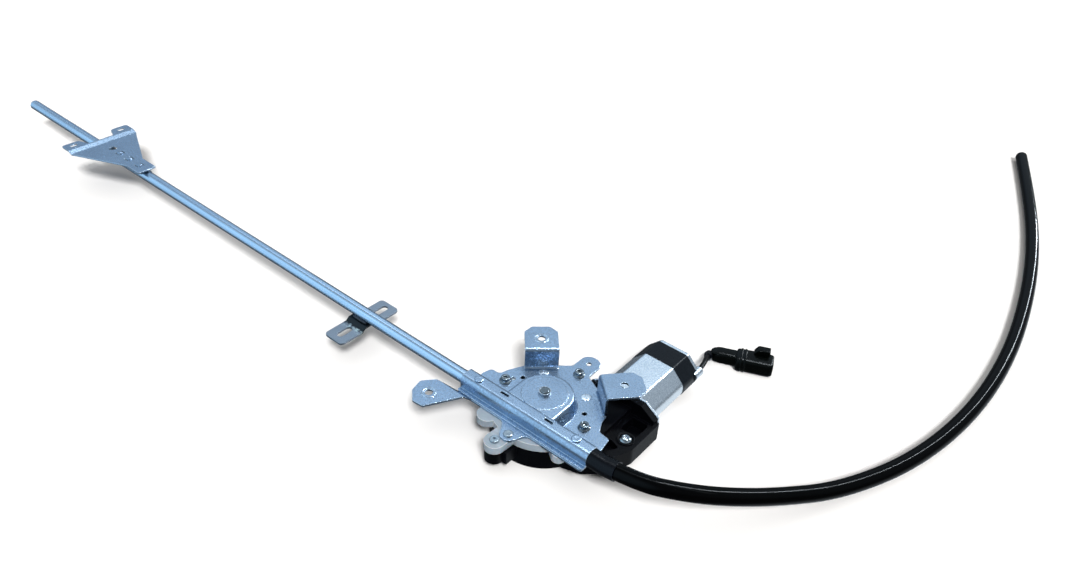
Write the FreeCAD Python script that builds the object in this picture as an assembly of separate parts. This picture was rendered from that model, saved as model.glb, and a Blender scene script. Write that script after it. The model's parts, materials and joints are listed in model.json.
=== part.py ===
import FreeCAD, Part
import math
import os

# Flexible-rack linear actuator: a worm-geared motor turns a gear that drives a wound
# cable (the rack) along a slotted guide tube, and the rack carries a lift bracket.
# All sizes are millimetres.  The drive frame used below has +X along the guide tube
# towards the hose, +Y towards the motor and +Z up.  x = 0 is the drive gear's axis and
# y = z = 0 is the tube's axis.  ORIGIN moves the finished pieces so that the model's
# own origin is under the middle of the actuator, on the surface that it lies on.

V = FreeCAD.Vector
X, Y, Z = V(1, 0, 0), V(0, 1, 0), V(0, 0, 1)

# ---- guide tube and wound rack ------------------------------------------------------
FLOOR = -36.0                 # underside of the case cover
TUBE_R, TUBE_BORE_R = 6.0, 5.0
TUBE_TIP, TUBE_END = -826.5, 82.0
SLOT_WIDTH, SLOT_END = 3.4, -72.0     # the slot for the shoe's fin, on the motor's side
RACK_PITCH = 3.0              # pitch of the wire wound on the rack
RACK_CORE_R, RACK_WIRE_R, RACK_WIRE_WIDTH = 2.0, 3.3, 1.3
RACK_START = -606.0
RACK_TAIL_EDGES = 11          # how far the rack's tail reaches along the hose's path

# ---- drive gear, its shaft and the worm wheel ---------------------------------------
GEAR_TEETH = 48
GEAR_PITCH_R = GEAR_TEETH * RACK_PITCH / (2 * math.pi)
GEAR_Y = GEAR_PITCH_R + 2.75  # the rack's pitch line is 2.75 from the tube's axis
GEAR_TIP_R, GEAR_ROOT_R, GEAR_HALF = GEAR_PITCH_R + 0.4, GEAR_PITCH_R - 1.1, 3.0
SHAFT_R, BUSH_GAP, SHAFT_TOP, HEX_TOP, HEX_ACROSS = 4.5, 0.05, 9.0, 9.8, 6.3
HUB_R, HUB_TOP = 9.0, -13.0
WHEEL_TIP_R, WHEEL_TEETH = 37.45, 73
WHEEL_LOW, WHEEL_TOP, WHEEL_BORE_R = -24.0, -12.0, 16.0
COLLAR_R, COLLAR_TOP = 5.2, 9.2

# ---- base plate, gear cover and arms ------------------------------------------------
PLATE_TOP, PLATE_T = -6.0, 2.0
PLATE_LOW = PLATE_TOP - PLATE_T
ARM_TOP, ARM_WIDTH, ARM_HOLE_R, ARM_CHAMFER = 14.0, 30.0, 3.5, 7.0
BEND_R, ROOT_R = 3.2, 2.4     # outside of an arm's upper bend, and inside of its lower one
TOP_ARM = {"root": (-32.5, 61.0), "angle": 132.5, "hole": 14.0, "reach": 30.2}
RIGHT_ARM = {"root": (36.5, 59.0), "angle": 48.0, "hole": 17.0, "reach": 34.0}
LEFT_ARM_TOP, LEFT_ARM_HOLE, FOLD_Y, ROOT_Y = -1.5, (-77.3, -32.6), -16.6, -11.5
EMBOSS_R, EMBOSS_INNER_R, EMBOSS_T = 6.3, 5.2, 0.35
DOME_BASE_R, DOME_TOP_R, DOME_TOP, DOME_SKIN = 28.5, 24.6, 5.8, 1.4
DOME_CAP_R, DOME_CAP_TOP, DOME_NEAR = 19.8, 6.6, 2.0
MOONS = [(-25.3, 55.6), (21.5, 55.5)]     # half-round clinch marks in the plate
MOON_R, MOON_DEPTH = 4.0, 0.7

# ---- tube clamp and small fasteners -------------------------------------------------
CLAMP_START, CLAMP_END = -65.0, 69.0
BEAD_HALF, BEAD_TOP, BEAD_GAP, CLAMP_T = 7.4, 7.3, 0.05, 1.2
BEAD_NEAR_ROUND, BEAD_FAR_ROUND = 5.2, 3.6
SIGHT_SLOTS, SIGHT_SLOT_R, SIGHT_SLOT_LENGTH = [(-22.9, 1.6), (23.8, 1.9)], 1.3, 9.0
CLAMP_FAR, CLAMP_NEAR = 14.5, -11.5
CLAMP_RIVET_R, CLAMP_RIVETS, TAB_RIVET = 2.0, [(-50.3, 0.2), (52.3, 1.2)], (1.0, -20.5)
RIVET_HEAD_R, RIVET_HEAD_T = 4.2, 1.3
BOLTS = [(-43.0, 25.2), (-0.7, 74.4), (41.9, 26.2)]
BOLT_R, BOLT_HOLE_R = 2.5, 2.75
BOLT_TIPS = [-30.0, -30.0, -10.4]        # the third bolt ends in the roof over the worm
WASHER_R, WASHER_T = 5.2, 1.0
SPACER_SCREW, SPACER_SCREW_R = (-3.9, -31.5), 1.9
PAD_SCREW, PAD_SCREW_R, PAD_TOP = (70.6, 45.5), 2.0, -14.0

# ---- spacer and gear case -----------------------------------------------------------
SPACER_LOW = -15.0
SPACER_LOBES = [(-28.5, -12.5, 9.5), (-3.9, -31.5, 9.0), (42.0, -6.5, 6.3)]
CASE_R, CASE_HUB_R, CASE_TOP, CASE_LOW = 46.0, 40.4, -9.0, -34.0
CASE_CAVITY_R, CASE_ROOF = 38.4, -10.8
EAR_LOW = -27.0               # underside of the ear below the spacer's screw
BUSH_R = 6.5
FOOT_LOW, FOOT_RIGHT = -31.0, 81.5
COVER_SCREWS, COVER_SCREW_R = [(-31, -3), (-34, 51), (14, 65), (30, -4)], 1.6

# ---- motor --------------------------------------------------------------------------
MOTOR_X, MOTOR_Z = 44.0, -17.8
CASE_END, CAN_START, BAND_START, CAP_START, CAP_END = 80.0, 82.0, 132.0, 154.5, 159.0
CAN_HALF, CAN_SIDE, CAN_TOP, CAN_FLAT = 27.5, 4.8, 17.8, 14.5   # the can's eight sides
CAN_ROUND, CAN_CREASE, CAN_T, BAND_T = 8.0, 3.0, 1.2, 0.4
FLANGE_GROW, FLANGE_SCREW_R, FLANGE_HEAD_R, FLANGE_SCREW_DX = 0.6, 1.7, 3.2, 31.0
ARBOR_R, ARBOR_START = 4.0, 7.3
WORM_TIP_R, WORM_ROOT_R, WORM_HALF, WORM_PITCH, WORM_RIDGES = 6.3, 5.0, 14.4, 3.15, 9
WORM_BORE_R = 7.0             # the case's bore round the worm
CORE_R, CORE_START, CORE_END, CORE_SLOTS = 15.6, 92.0, 126.0, 10
COMMUTATOR_R, COMMUTATOR_START, COMMUTATOR_END = 8.0, 133.0, 145.0
BRUSH_START, BRUSH_END, BRUSH_HALF = 137.0, 143.0, 3.0
BEARING_R, BEARINGS = 8.0, [(8.0, 11.0), (60.0, 66.0)]
REAR_BEARING_R, REAR_BEARING_T = 7.0, 3.0

# ---- mid strap ----------------------------------------------------------------------
STRAP_X, STRAP_WIDTH, STRAP_NEAR, STRAP_FAR = -197.0, 24.0, -37.0, 33.0
STRAP_T, STRAP_DROP = 2.0, 3.0
STRAP_SLOT_YS, STRAP_SLOT_R, STRAP_SLOT_LENGTH = (-23.0, 20.5), 3.5, 16.0

# ---- slider -------------------------------------------------------------------------
BRACKET_TOP, BRACKET_T = 9.0, 1.5
BRACKET_LOW = BRACKET_TOP - BRACKET_T
BAND_X, NECK_X = -653.5, -560.5
BRACKET_HALF, NECK_HALF, EAR_LIFT, EAR_LENGTH = 40.0, 10.7, 2.5, 15.0
EAR_SLOT_Y, EAR_SLOT_X, EAR_SLOT_R, EAR_SLOT_LENGTH = 29.0, -667.0, 2.4, 9.0
RIVET_XS, RIVET_R, SPARE_HOLE_X, SPARE_HOLE_R = [-618.0, -598.0, -577.0], 1.5, -634.0, 4.5
SADDLE_START, SADDLE_END, SADDLE_R, SADDLE_INNER_R = -642.0, -566.0, 7.4, 6.35
FIN_START, FIN_END, FIN_HALF, SHOE_R = -626.0, -586.0, 1.25, 4.7

# ---- hose, lead and connector -------------------------------------------------------
HOSE_R, HOSE_BORE_R, SLEEVE_R = 7.0, 5.0, 8.1
HOSE_ROUTE = [
    (82, 0, 0), (112, 2, 2), (141, 15, 2), (166, 39, -4), (193, 76, -15), (226, 128, -26),
    (258, 204, -29), (275, 297, -29), (275, 401, -29), (260, 513, -29), (235, 625, -29),
    (199, 738, -29), (156, 853, -29),
]
LEAD_R = 2.25
LEAD_ROUTE = [
    (69.5, 162, -14), (68.5, 171, -14.6), (65.2, 180.5, -17.2), (61.7, 189.5, -22), (59.5, 197, -27),
]
BOSS_R, BOSS_START, BOSS_Z = 4.4, 150.5, -15.5
PLUG_TURN = 24.0              # the connector's heading from +X
PLUG_REAR = V(58.5, 206.5, -29.5)

ARM_LOW = -48.5               # the lowest y that the left arm reaches
ORIGIN = V((TUBE_TIP + TUBE_END) / 2, (ARM_LOW + LEAD_ROUTE[0][1]) / 2, FLOOR)


# ---- shape helpers ------------------------------------------------------------------
def cylinder(base, direction, radius, length):
    return Part.makeCylinder(radius, length, base, direction)


def post(x, y, low, high, radius):
    """An upright cylinder from low to high."""
    return cylinder(V(x, y, low), Z, radius, high - low)


def ring(x, y, low, high, outer, inner):
    return post(x, y, low, high, outer).cut(post(x, y, low - 1, high + 1, inner))


def along_y(start, end, radius, x=MOTOR_X, z=MOTOR_Z):
    """A cylinder about the motor's axis, or one parallel to it."""
    return cylinder(V(x, start, z), Y, radius, end - start)


def box(x0, x1, y0, y1, z0, z1):
    return Part.makeBox(x1 - x0, y1 - y0, z1 - z0, V(x0, y0, z0))


def fuse(shapes):
    whole = shapes[0]
    for shape in shapes[1:]:
        whole = whole.fuse(shape)
    return whole.removeSplitter()


def cut(shape, tools):
    for tool in tools:
        shape = shape.cut(tool)
    return shape


def polygon(points):
    return Part.makePolygon([V(*point) for point in points + points[:1]])


def outline(points):
    """A closed face in the XY plane from (x, y, corner radius) points."""
    count = len(points)
    joints = []
    for i, (px, py, radius) in enumerate(points):
        here = V(px, py, 0)
        if radius == 0:
            joints.append((here, here, None))
            continue
        before = V(*points[i - 1][:2], 0) - here
        after = V(*points[(i + 1) % count][:2], 0) - here
        before.normalize()
        after.normalize()
        half = before.getAngle(after) / 2
        setback = radius / math.tan(half)
        middle = before + after
        middle.normalize()
        centre = here + middle * (radius / math.sin(half))
        joints.append((here + before * setback, here + after * setback, centre - middle * radius))
    edges = []
    for i, (start, end, top) in enumerate(joints):
        if top is not None:
            edges.append(Part.Arc(start, top, end).toShape())
        following = joints[(i + 1) % count][0]
        if end.distanceToPoint(following) > 1e-4:
            edges.append(Part.LineSegment(end, following).toShape())
    return Part.Face(Part.Wire(edges))


def slab(points, low, high):
    face = outline(points)
    face.translate(V(0, 0, low))
    return face.extrude(V(0, 0, high - low))


def slot_y(x, y, radius, length, low, high):
    """A cutter for a slot that runs along Y."""
    reach = length / 2 - radius
    return fuse([
        post(x, y - reach, low, high, radius),
        post(x, y + reach, low, high, radius),
        box(x - radius, x + radius, y - reach, y + reach, low, high),
    ])


def slot_x(x, y, radius, length, low, high):
    """A cutter for a slot that runs along X."""
    cutter = slot_y(0, 0, radius, length, low, high)
    cutter.rotate(V(0, 0, 0), Z, 90)
    cutter.translate(V(x, y, 0))
    return cutter


def on_circle(radius, degrees):
    turn = math.radians(degrees)
    return radius * math.cos(turn), radius * math.sin(turn)


def top_edges(shape, height):
    """The edges that lie wholly at z = height."""
    return [edge for edge in shape.Edges
            if abs(edge.BoundBox.ZMin - height) < 1e-3 and abs(edge.BoundBox.ZMax - height) < 1e-3]


def route_edges(points, label):
    """Straight runs joined by tangent arcs, each as large as its two runs allow."""
    corners = [V(*point) for point in points]
    edges = []
    radii = []
    start = corners[0]
    for before, here, after in zip(corners, corners[1:], corners[2:]):
        back, ahead = before - here, after - here
        shorter = min(back.Length, ahead.Length)
        back.normalize()
        ahead.normalize()
        half_turn = (math.pi - back.getAngle(ahead)) / 2
        setback = 0.45 * shorter
        radius = setback / math.tan(half_turn)
        radii.append(round(radius))
        middle = back + ahead
        middle.normalize()
        centre = here + middle * (radius / math.cos(half_turn))
        entry, leave = here + back * setback, here + ahead * setback
        edges.append(Part.LineSegment(start, entry).toShape())
        edges.append(Part.Arc(entry, centre - middle * radius, leave).toShape())
        start = leave
    edges.append(Part.LineSegment(start, corners[-1]).toShape())
    print(label, "arc radii", radii, "length", round(sum(edge.Length for edge in edges), 1))
    return edges


def sweep(edges, radius):
    """A round bar along a chain of edges."""
    path = Part.Wire(edges)
    start = edges[0].valueAt(edges[0].FirstParameter)
    heading = edges[0].tangentAt(edges[0].FirstParameter)
    section = Part.Wire(Part.makeCircle(radius, start, heading))
    return path.makePipeShell([section], True, True)


# ---- base plate ---------------------------------------------------------------------
def arm(data):
    """A flat arm on an upright riser, heading at its angle from its root line."""
    half, reach = ARM_WIDTH / 2, data["reach"]
    flat = slab([
        (0, -half, 0), (reach - ARM_CHAMFER, -half, 3), (reach, -half + ARM_CHAMFER, 3),
        (reach, half - ARM_CHAMFER, 3), (reach - ARM_CHAMFER, half, 3), (0, half, 0),
    ], ARM_TOP - PLATE_T, ARM_TOP)
    riser = box(-PLATE_T, 0.01, -half, half, PLATE_LOW, ARM_TOP)
    shape = flat.fuse(riser).removeSplitter()
    fold = [edge for edge in top_edges(shape, ARM_TOP)
            if abs(edge.BoundBox.XMin + PLATE_T) < 1e-3 and abs(edge.BoundBox.XMax + PLATE_T) < 1e-3]
    shape = shape.makeFillet(BEND_R, fold)
    root = box(-PLATE_T - ROOT_R, -PLATE_T, -half, half, PLATE_TOP - 0.5, PLATE_TOP + ROOT_R)
    hollow = cylinder(V(-PLATE_T - ROOT_R, -half - 1, PLATE_TOP + ROOT_R), Y, ROOT_R, ARM_WIDTH + 2)
    shape = shape.fuse(root.cut(hollow)).removeSplitter()
    shape.rotate(V(0, 0, 0), Z, data["angle"])
    shape.translate(V(*data["root"], 0))
    return shape


def arm_point(data):
    """Where the arm's hole is."""
    dx, dy = on_circle(data["hole"], data["angle"])
    return data["root"][0] + dx, data["root"][1] + dy


def left_arm():
    """The low arm: a short ramp from the plate's edge up to a six-cornered end."""
    low = LEFT_ARM_TOP - PLATE_T
    end = slab([
        (-52.0, FOLD_Y, 0), (-83.5, FOLD_Y, 3), (-93.0, -27.5, 4), (-89.6, -40.2, 4),
        (-80.5, -48.6, 3), (-69.6, -47.6, 2),
    ], low, LEFT_ARM_TOP)
    root = polygon([(-65, ROOT_Y, PLATE_LOW), (-48, ROOT_Y, PLATE_LOW), (-48, ROOT_Y, PLATE_TOP),
                    (-65, ROOT_Y, PLATE_TOP)])
    fold = polygon([(-83.4, FOLD_Y - 0.1, low), (-52, FOLD_Y - 0.1, low),
                    (-52, FOLD_Y - 0.1, LEFT_ARM_TOP), (-83.4, FOLD_Y - 0.1, LEFT_ARM_TOP)])
    return end.fuse(Part.makeLoft([root, fold], True, True))


def dome_outline(radius, near, height):
    """The gear cover's D-shaped outline: round over the gear, straight towards the tube."""
    left, right = V(-radius, GEAR_Y, height), V(radius, GEAR_Y, height)
    near_left, near_right = V(-radius, near, height), V(radius, near, height)
    return Part.Wire([
        Part.LineSegment(near_left, left).toShape(),
        Part.Arc(left, V(0, GEAR_Y + radius, height), right).toShape(),
        Part.LineSegment(right, near_right).toShape(),
        Part.LineSegment(near_right, near_left).toShape(),
    ])


def dome_body(inset):
    """The gear cover as a solid, or its hollow when inset by the skin's thickness."""
    top = DOME_TOP - inset
    slope = (DOME_BASE_R - DOME_TOP_R) / (DOME_TOP - PLATE_TOP)
    foot_r = DOME_BASE_R - inset + slope * PLATE_T
    body = Part.makeLoft([dome_outline(foot_r, DOME_NEAR, PLATE_LOW),
                          dome_outline(DOME_TOP_R - inset, DOME_NEAR, top)], True, True)
    rim = [edge for edge in top_edges(body, top) if edge.BoundBox.YMax > DOME_NEAR + 1]
    body = body.makeFillet(2.6, rim)
    cap = post(0, GEAR_Y, top - 1, DOME_CAP_TOP - inset, DOME_CAP_R - inset)
    body = body.fuse(cap).removeSplitter()
    if inset == 0:
        body = body.makeFillet(0.5, top_edges(body, DOME_CAP_TOP))
    return body


def half_moon(x, y):
    disc = post(x, y, PLATE_TOP - MOON_DEPTH, PLATE_TOP + 1, MOON_R)
    half = box(-MOON_R, MOON_R, 0, MOON_R, PLATE_TOP - 2, PLATE_TOP + 2)
    half.rotate(V(0, 0, 0), Z, math.degrees(math.atan2(y - GEAR_Y, x)) - 90)
    half.translate(V(x, y, 0))
    return disc.common(half)


def base_plate():
    sheet = slab([
        (CLAMP_START + 1, -12, 1.5), (-13, -12, 6), (-8, -19, 4), (-4, -27.5, 7), (6, -27.5, 7),
        (13, -12, 6), (CLAMP_END - 1, -12, 2), (CLAMP_END - 2, 17, 2), (65, 29.5, 3), (54, 31, 4),
        (49, 41, 4), (47.6, 49, 0), (25.4, 69.3, 0), (13, 75, 3), (7, 78, 3),
        (7, 101.5, 9), (-12.2, 101.5, 9), (-12.2, 80, 3), (-21.8, 71.5, 0), (-43.6, 51, 0),
        (-50.5, 37, 4), (-53, 28.5, 4), (-62, 28.5, 4), (CLAMP_START + 1, 20, 3),
    ], PLATE_LOW, PLATE_TOP)
    arm_holes = [(*arm_point(TOP_ARM), ARM_TOP), (*LEFT_ARM_HOLE, LEFT_ARM_TOP),
                 (*arm_point(RIGHT_ARM), ARM_TOP)]
    embossed = [post(x, y, top - 0.1, top + EMBOSS_T, EMBOSS_R) for x, y, top in arm_holes[:2]]
    plate = fuse([sheet, dome_body(0), arm(TOP_ARM), arm(RIGHT_ARM), left_arm()] + embossed)
    hollow = dome_body(DOME_SKIN)
    low_part = hollow.common(box(-40, 40, BEAD_HALF + 0.1, 60, PLATE_LOW - 1, DOME_TOP))
    near_part = hollow.common(box(-40, 40, DOME_NEAR, BEAD_HALF + 0.2, PLATE_TOP, DOME_TOP))
    holes = [low_part, near_part, clamp_bead(BEAD_GAP, PLATE_TOP, CLAMP_START - 5, CLAMP_END + 5),
             post(0, GEAR_Y, 0, 20, COLLAR_R)]
    holes += [post(x, y, -20, 5, BOLT_HOLE_R) for x, y in BOLTS]
    for x, y, top in arm_holes:
        holes.append(post(x, y, top - 5, top + 5, ARM_HOLE_R))
    for x, y, top in arm_holes[:2]:
        holes.append(post(x, y, top, top + 5, EMBOSS_INNER_R))
    spare_holes = [(-34.5, 38.4, 2.2), (-39.6, 32.0, 2.0), (-3.0, 91.5, 2.4), (32.3, 39.2, 2.2)]
    holes += [post(x, y, PLATE_LOW - 1, PLATE_TOP + 1, radius) for x, y, radius in spare_holes]
    holes.append(post(*TAB_RIVET, PLATE_LOW - 1, PLATE_TOP + 1, CLAMP_RIVET_R))
    holes += [half_moon(x, y) for x, y in MOONS]
    return cut(plate, holes)


# ---- tube, clamp, strap and their rivets --------------------------------------------
def clamp_bead(grow, low, start, end):
    """The clamp's flat-topped bead over the tube, grown by an even margin."""
    half, top = BEAD_HALF + grow, BEAD_TOP + grow
    face = outline([(-half, low, 0), (half, low, 0), (half, top, BEAD_FAR_ROUND + grow),
                    (-half, top, BEAD_NEAR_ROUND + grow)])
    face.rotate(V(0, 0, 0), V(1, 1, 1), 120)
    face.translate(V(start, 0, 0))
    return face.extrude(V(end - start, 0, 0))


def tube_clamp():
    low = PLATE_TOP
    bead = clamp_bead(0, low, CLAMP_START, CLAMP_END)
    flange = slab([
        (CLAMP_START, CLAMP_NEAR, 1.5), (CLAMP_END, CLAMP_NEAR, 1.5), (CLAMP_END, CLAMP_FAR - 3, 3),
        (CLAMP_END - 12, CLAMP_FAR, 3), (CLAMP_START + 8, CLAMP_FAR, 3), (CLAMP_START, CLAMP_FAR - 4, 3),
    ], low, low + CLAMP_T)
    inner = clamp_bead(-CLAMP_T, low - 1, CLAMP_START - 1, CLAMP_END + 1)
    gear_window = box(-21, 21, 1.5, 9, low - 1, 3.9)
    dome_gap = box(-DOME_BASE_R - 0.3, DOME_BASE_R + 0.3, BEAD_HALF, CLAMP_FAR + 1, low - 1, 0)
    sights = [slot_x(x, y, SIGHT_SLOT_R, SIGHT_SLOT_LENGTH, 5, 9) for x, y in SIGHT_SLOTS]
    rivets = [post(x, y, 5, 9, CLAMP_RIVET_R) for x, y in CLAMP_RIVETS]
    return cut(fuse([bead, flange]), [inner, gear_window, dome_gap] + sights + rivets)


def rivet(x, y, low, top):
    """A flat-headed rivet through the metal between low and top."""
    head_top = top + RIVET_HEAD_T
    body = fuse([post(x, y, low, top + 0.01, CLAMP_RIVET_R),
                 post(x, y, top, head_top, RIVET_HEAD_R)])
    return body.makeFillet(0.55, top_edges(body, head_top))


def clamp_rivets():
    return Part.makeCompound([rivet(x, y, BEAD_TOP - CLAMP_T, BEAD_TOP) for x, y in CLAMP_RIVETS])


def tab_rivet():
    return rivet(*TAB_RIVET, PLATE_LOW, PLATE_TOP)


def guide_tube():
    tube = cylinder(V(TUBE_TIP, 0, 0), X, TUBE_R, TUBE_END - TUBE_TIP)
    bore = cylinder(V(TUBE_TIP - 1, 0, 0), X, TUBE_BORE_R, TUBE_END - TUBE_TIP + 2)
    slot = box(TUBE_TIP - 1, SLOT_END, 2, 8, -SLOT_WIDTH / 2, SLOT_WIDTH / 2)
    gear_window = box(-18, 18, 1.5, 8, -3.6, 3.6)
    sights = [slot_x(x, y, SIGHT_SLOT_R - 0.2, SIGHT_SLOT_LENGTH - 0.4, 4, 7) for x, y in SIGHT_SLOTS]
    return cut(tube, [bore, slot, gear_window] + sights)


def mid_strap():
    """A strip that passes under the tube, with a lower slotted lug on each side."""
    low_top = PLATE_TOP - STRAP_DROP
    half = STRAP_WIDTH / 2
    side = [
        (STRAP_NEAR, low_top - STRAP_T), (-12, low_top - STRAP_T), (-8.5, PLATE_TOP - STRAP_T),
        (8.5, PLATE_TOP - STRAP_T), (12, low_top - STRAP_T), (STRAP_FAR, low_top - STRAP_T),
        (STRAP_FAR, low_top), (11.2, low_top), (7.7, PLATE_TOP), (-7.7, PLATE_TOP),
        (-11.2, low_top), (STRAP_NEAR, low_top),
    ]
    profile = Part.Face(polygon([(STRAP_X - half, y, z) for y, z in side]))
    plan = slab([
        (STRAP_X - half, STRAP_NEAR, 4), (STRAP_X + half, STRAP_NEAR, 4),
        (STRAP_X + half, STRAP_FAR, 4), (STRAP_X - half, STRAP_FAR, 4),
    ], -20, 0)
    slots = [slot_y(STRAP_X, y, STRAP_SLOT_R, STRAP_SLOT_LENGTH, -20, 0) for y in STRAP_SLOT_YS]
    return cut(profile.extrude(V(STRAP_WIDTH, 0, 0)).common(plan), slots)


def strap_weld():
    """Two short fillet beads that hold the strap to the tube."""
    beads = []
    for side in (-1, 1):
        bead = cylinder(V(STRAP_X - 9, side * 4.6, PLATE_TOP + 0.6), X, 1.9, 18)
        bead = bead.common(box(STRAP_X - 20, STRAP_X + 20, -9, 9, PLATE_TOP, 0))
        beads.append(bead.cut(cylinder(V(STRAP_X - 20, 0, 0), X, TUBE_R, 40)))
    return Part.makeCompound(beads)


# ---- spacer, gear case and their fasteners ------------------------------------------
def spacer():
    """The nylon spacer between the base plate and the gear case."""
    body = post(0, GEAR_Y, SPACER_LOW, PLATE_LOW, CASE_R)
    for x, y, radius in SPACER_LOBES:
        reach = math.hypot(x, y - GEAR_Y)
        web = box(0, reach, -radius, radius, SPACER_LOW, PLATE_LOW)
        web.rotate(V(0, 0, 0), Z, math.degrees(math.atan2(y - GEAR_Y, x)))
        web.translate(V(0, GEAR_Y, 0))
        body = body.fuse(post(x, y, SPACER_LOW, PLATE_LOW, radius)).fuse(web)
    body = body.fuse(post(*BOLTS[1], SPACER_LOW, PLATE_LOW, 7)).removeSplitter()
    worm_gap = box(27, 80, 4, 90, SPACER_LOW - 1, PLATE_LOW + 1)
    hub_gap = post(0, GEAR_Y, SPACER_LOW - 1, PLATE_LOW + 1, CASE_HUB_R + 0.3)
    holes = [post(x, y, -20, 0, BOLT_HOLE_R) for x, y in BOLTS]
    holes.append(post(*SPACER_SCREW, -20, 0, SPACER_SCREW_R + 0.2))
    return cut(body, [hub_gap, worm_gap] + holes)


def flange_profile(start, end, grow=0.0):
    """The eight-sided motor flange, from y = start to y = end."""
    high, low = -1 + grow, -34.6 - grow
    left, right = 9.5 - grow, 78.5 + grow
    points = [(23, high), (65, high), (right, -10), (right, -26), (65, low), (23, low),
              (left, -26), (left, -10)]
    return Part.Face(polygon([(x, start, z) for x, z in points])).extrude(V(0, end - start, 0))


def gear_case():
    low = CASE_LOW
    foot = slab([(38, -2, 6), (58, 4, 8), (74, 20, 8), (FOOT_RIGHT, 40, 8), (FOOT_RIGHT, CASE_END, 2),
                 (10, CASE_END, 2)], FOOT_LOW, PAD_TOP)
    spacer_room = [post(0, GEAR_Y, SPACER_LOW, 0, CASE_R), box(35, 49, -14, 5, SPACER_LOW, 0)]
    foot = cut(foot, spacer_room)
    ears = [post(x, y, low, SPACER_LOW, 7) for x, y in BOLTS]
    ears.append(post(*SPACER_SCREW, EAR_LOW, SPACER_LOW, 8.4))
    web = box(-9, 9, SPACER_SCREW[1], 0, EAR_LOW, SPACER_LOW)
    tunnel = box(MOTOR_X - 11.5, MOTOR_X + 11.5, 5, 74, -28, -8.6)
    body = fuse([
        post(0, GEAR_Y, low, SPACER_LOW, CASE_R - 0.6), post(0, GEAR_Y, low, CASE_TOP, CASE_HUB_R),
        foot, web, tunnel, flange_profile(74, CASE_END),
    ] + ears)
    bays = [slab([(59, 27, 2), (66, 24, 2), (72, 34, 2), (60.5, 38, 2)], -22, PAD_TOP + 1),
            slab([(60, 53, 2), (76, 53, 2), (76, 71, 2), (60, 71, 2)], -24, PAD_TOP + 1)]
    cavity = [
        post(0, GEAR_Y, low - 1, CASE_ROOF, CASE_CAVITY_R),
        along_y(7, BEARINGS[0][1], BEARING_R), along_y(7, CASE_END + 1, WORM_BORE_R),
        along_y(BEARINGS[1][0], CASE_END + 1, BEARING_R), along_y(75, CASE_END + 1, 15.0),
        box(5, 16.5, 73, 76, PLATE_LOW - 0.1, 0),
        post(0, GEAR_Y, CASE_ROOF - 1, 0, BUSH_R),
    ]
    holes = [post(x, y, tip - 0.2, 0, BOLT_R) for (x, y), tip in zip(BOLTS, BOLT_TIPS)]
    holes.append(post(*SPACER_SCREW, EAR_LOW - 1, 0, SPACER_SCREW_R))
    holes.append(post(*PAD_SCREW, -30, 0, PAD_SCREW_R))
    holes += [along_y(75, CASE_END + 1, FLANGE_SCREW_R, MOTOR_X + side * FLANGE_SCREW_DX)
              for side in (-1, 1)]
    return cut(body, bays + cavity + holes)


def case_cover():
    plan = post(0, GEAR_Y, FLOOR, CASE_LOW, CASE_R - 1.6)
    holes = [post(x, y, FLOOR - 1, CASE_LOW + 1, COVER_SCREW_R) for x, y in COVER_SCREWS]
    return cut(plan, holes)


def cover_seal():
    """A rubber ring in the case's mouth, seated on the cover."""
    return ring(0, GEAR_Y, CASE_LOW, CASE_LOW + 1.4, CASE_CAVITY_R, CASE_CAVITY_R - 3.4)


def cover_screws():
    return Part.makeCompound([post(x, y, FLOOR, CASE_LOW, COVER_SCREW_R) for x, y in COVER_SCREWS])


def hex_prism(x, y, low, high, across):
    corners = [on_circle(across / math.sqrt(3), 60 * i) for i in range(6)]
    return slab([(x + dx, y + dy, 0) for dx, dy in corners], low, high)


def bolt(x, y, seat, tip, radius, head_r, head_h, socket):
    """A round-headed screw with a hexagon socket, seated at z = seat."""
    head = post(x, y, seat, seat + head_h, head_r)
    head = head.makeFillet(head_h * 0.3, top_edges(head, seat + head_h))
    shape = head.fuse(post(x, y, tip, seat + 0.01, radius)).removeSplitter()
    return shape.cut(hex_prism(x, y, seat + head_h * 0.35, seat + head_h + 1, socket))


def plate_bolts():
    seat = PLATE_TOP + WASHER_T
    return Part.makeCompound([bolt(x, y, seat, tip, BOLT_R, 4.0, 3.2, 3.4)
                              for (x, y), tip in zip(BOLTS, BOLT_TIPS)])


def bolt_washers():
    return Part.makeCompound([ring(x, y, PLATE_TOP, PLATE_TOP + WASHER_T, WASHER_R, BOLT_HOLE_R)
                              for x, y in BOLTS])


def spacer_screw():
    return bolt(*SPACER_SCREW, PLATE_LOW, EAR_LOW + 1, SPACER_SCREW_R, 4.0, 2.2, 2.6)


def pad_screw():
    return bolt(*PAD_SCREW, PAD_TOP, -28, PAD_SCREW_R, 4.4, 2.6, 3.0)


# ---- gear train ---------------------------------------------------------------------
def output_shaft():
    return fuse([
        post(0, GEAR_Y, CASE_LOW + 0.5, SHAFT_TOP, SHAFT_R), post(0, GEAR_Y, WHEEL_LOW, HUB_TOP, HUB_R),
        hex_prism(0, GEAR_Y, SHAFT_TOP - 0.1, HEX_TOP, HEX_ACROSS),
    ])


def shaft_collar():
    """The bush in the gear cover's top that steadies the shaft's upper end."""
    return ring(0, GEAR_Y, DOME_CAP_TOP - DOME_SKIN, COLLAR_TOP, COLLAR_R, SHAFT_R + BUSH_GAP)


def case_bushes():
    return Part.makeCompound([
        ring(0, GEAR_Y, CASE_ROOF - 1, CASE_TOP, BUSH_R, SHAFT_R + BUSH_GAP),
        ring(0, GEAR_Y, CASE_LOW, -27, 7.0, SHAFT_R + BUSH_GAP),
    ])


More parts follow.
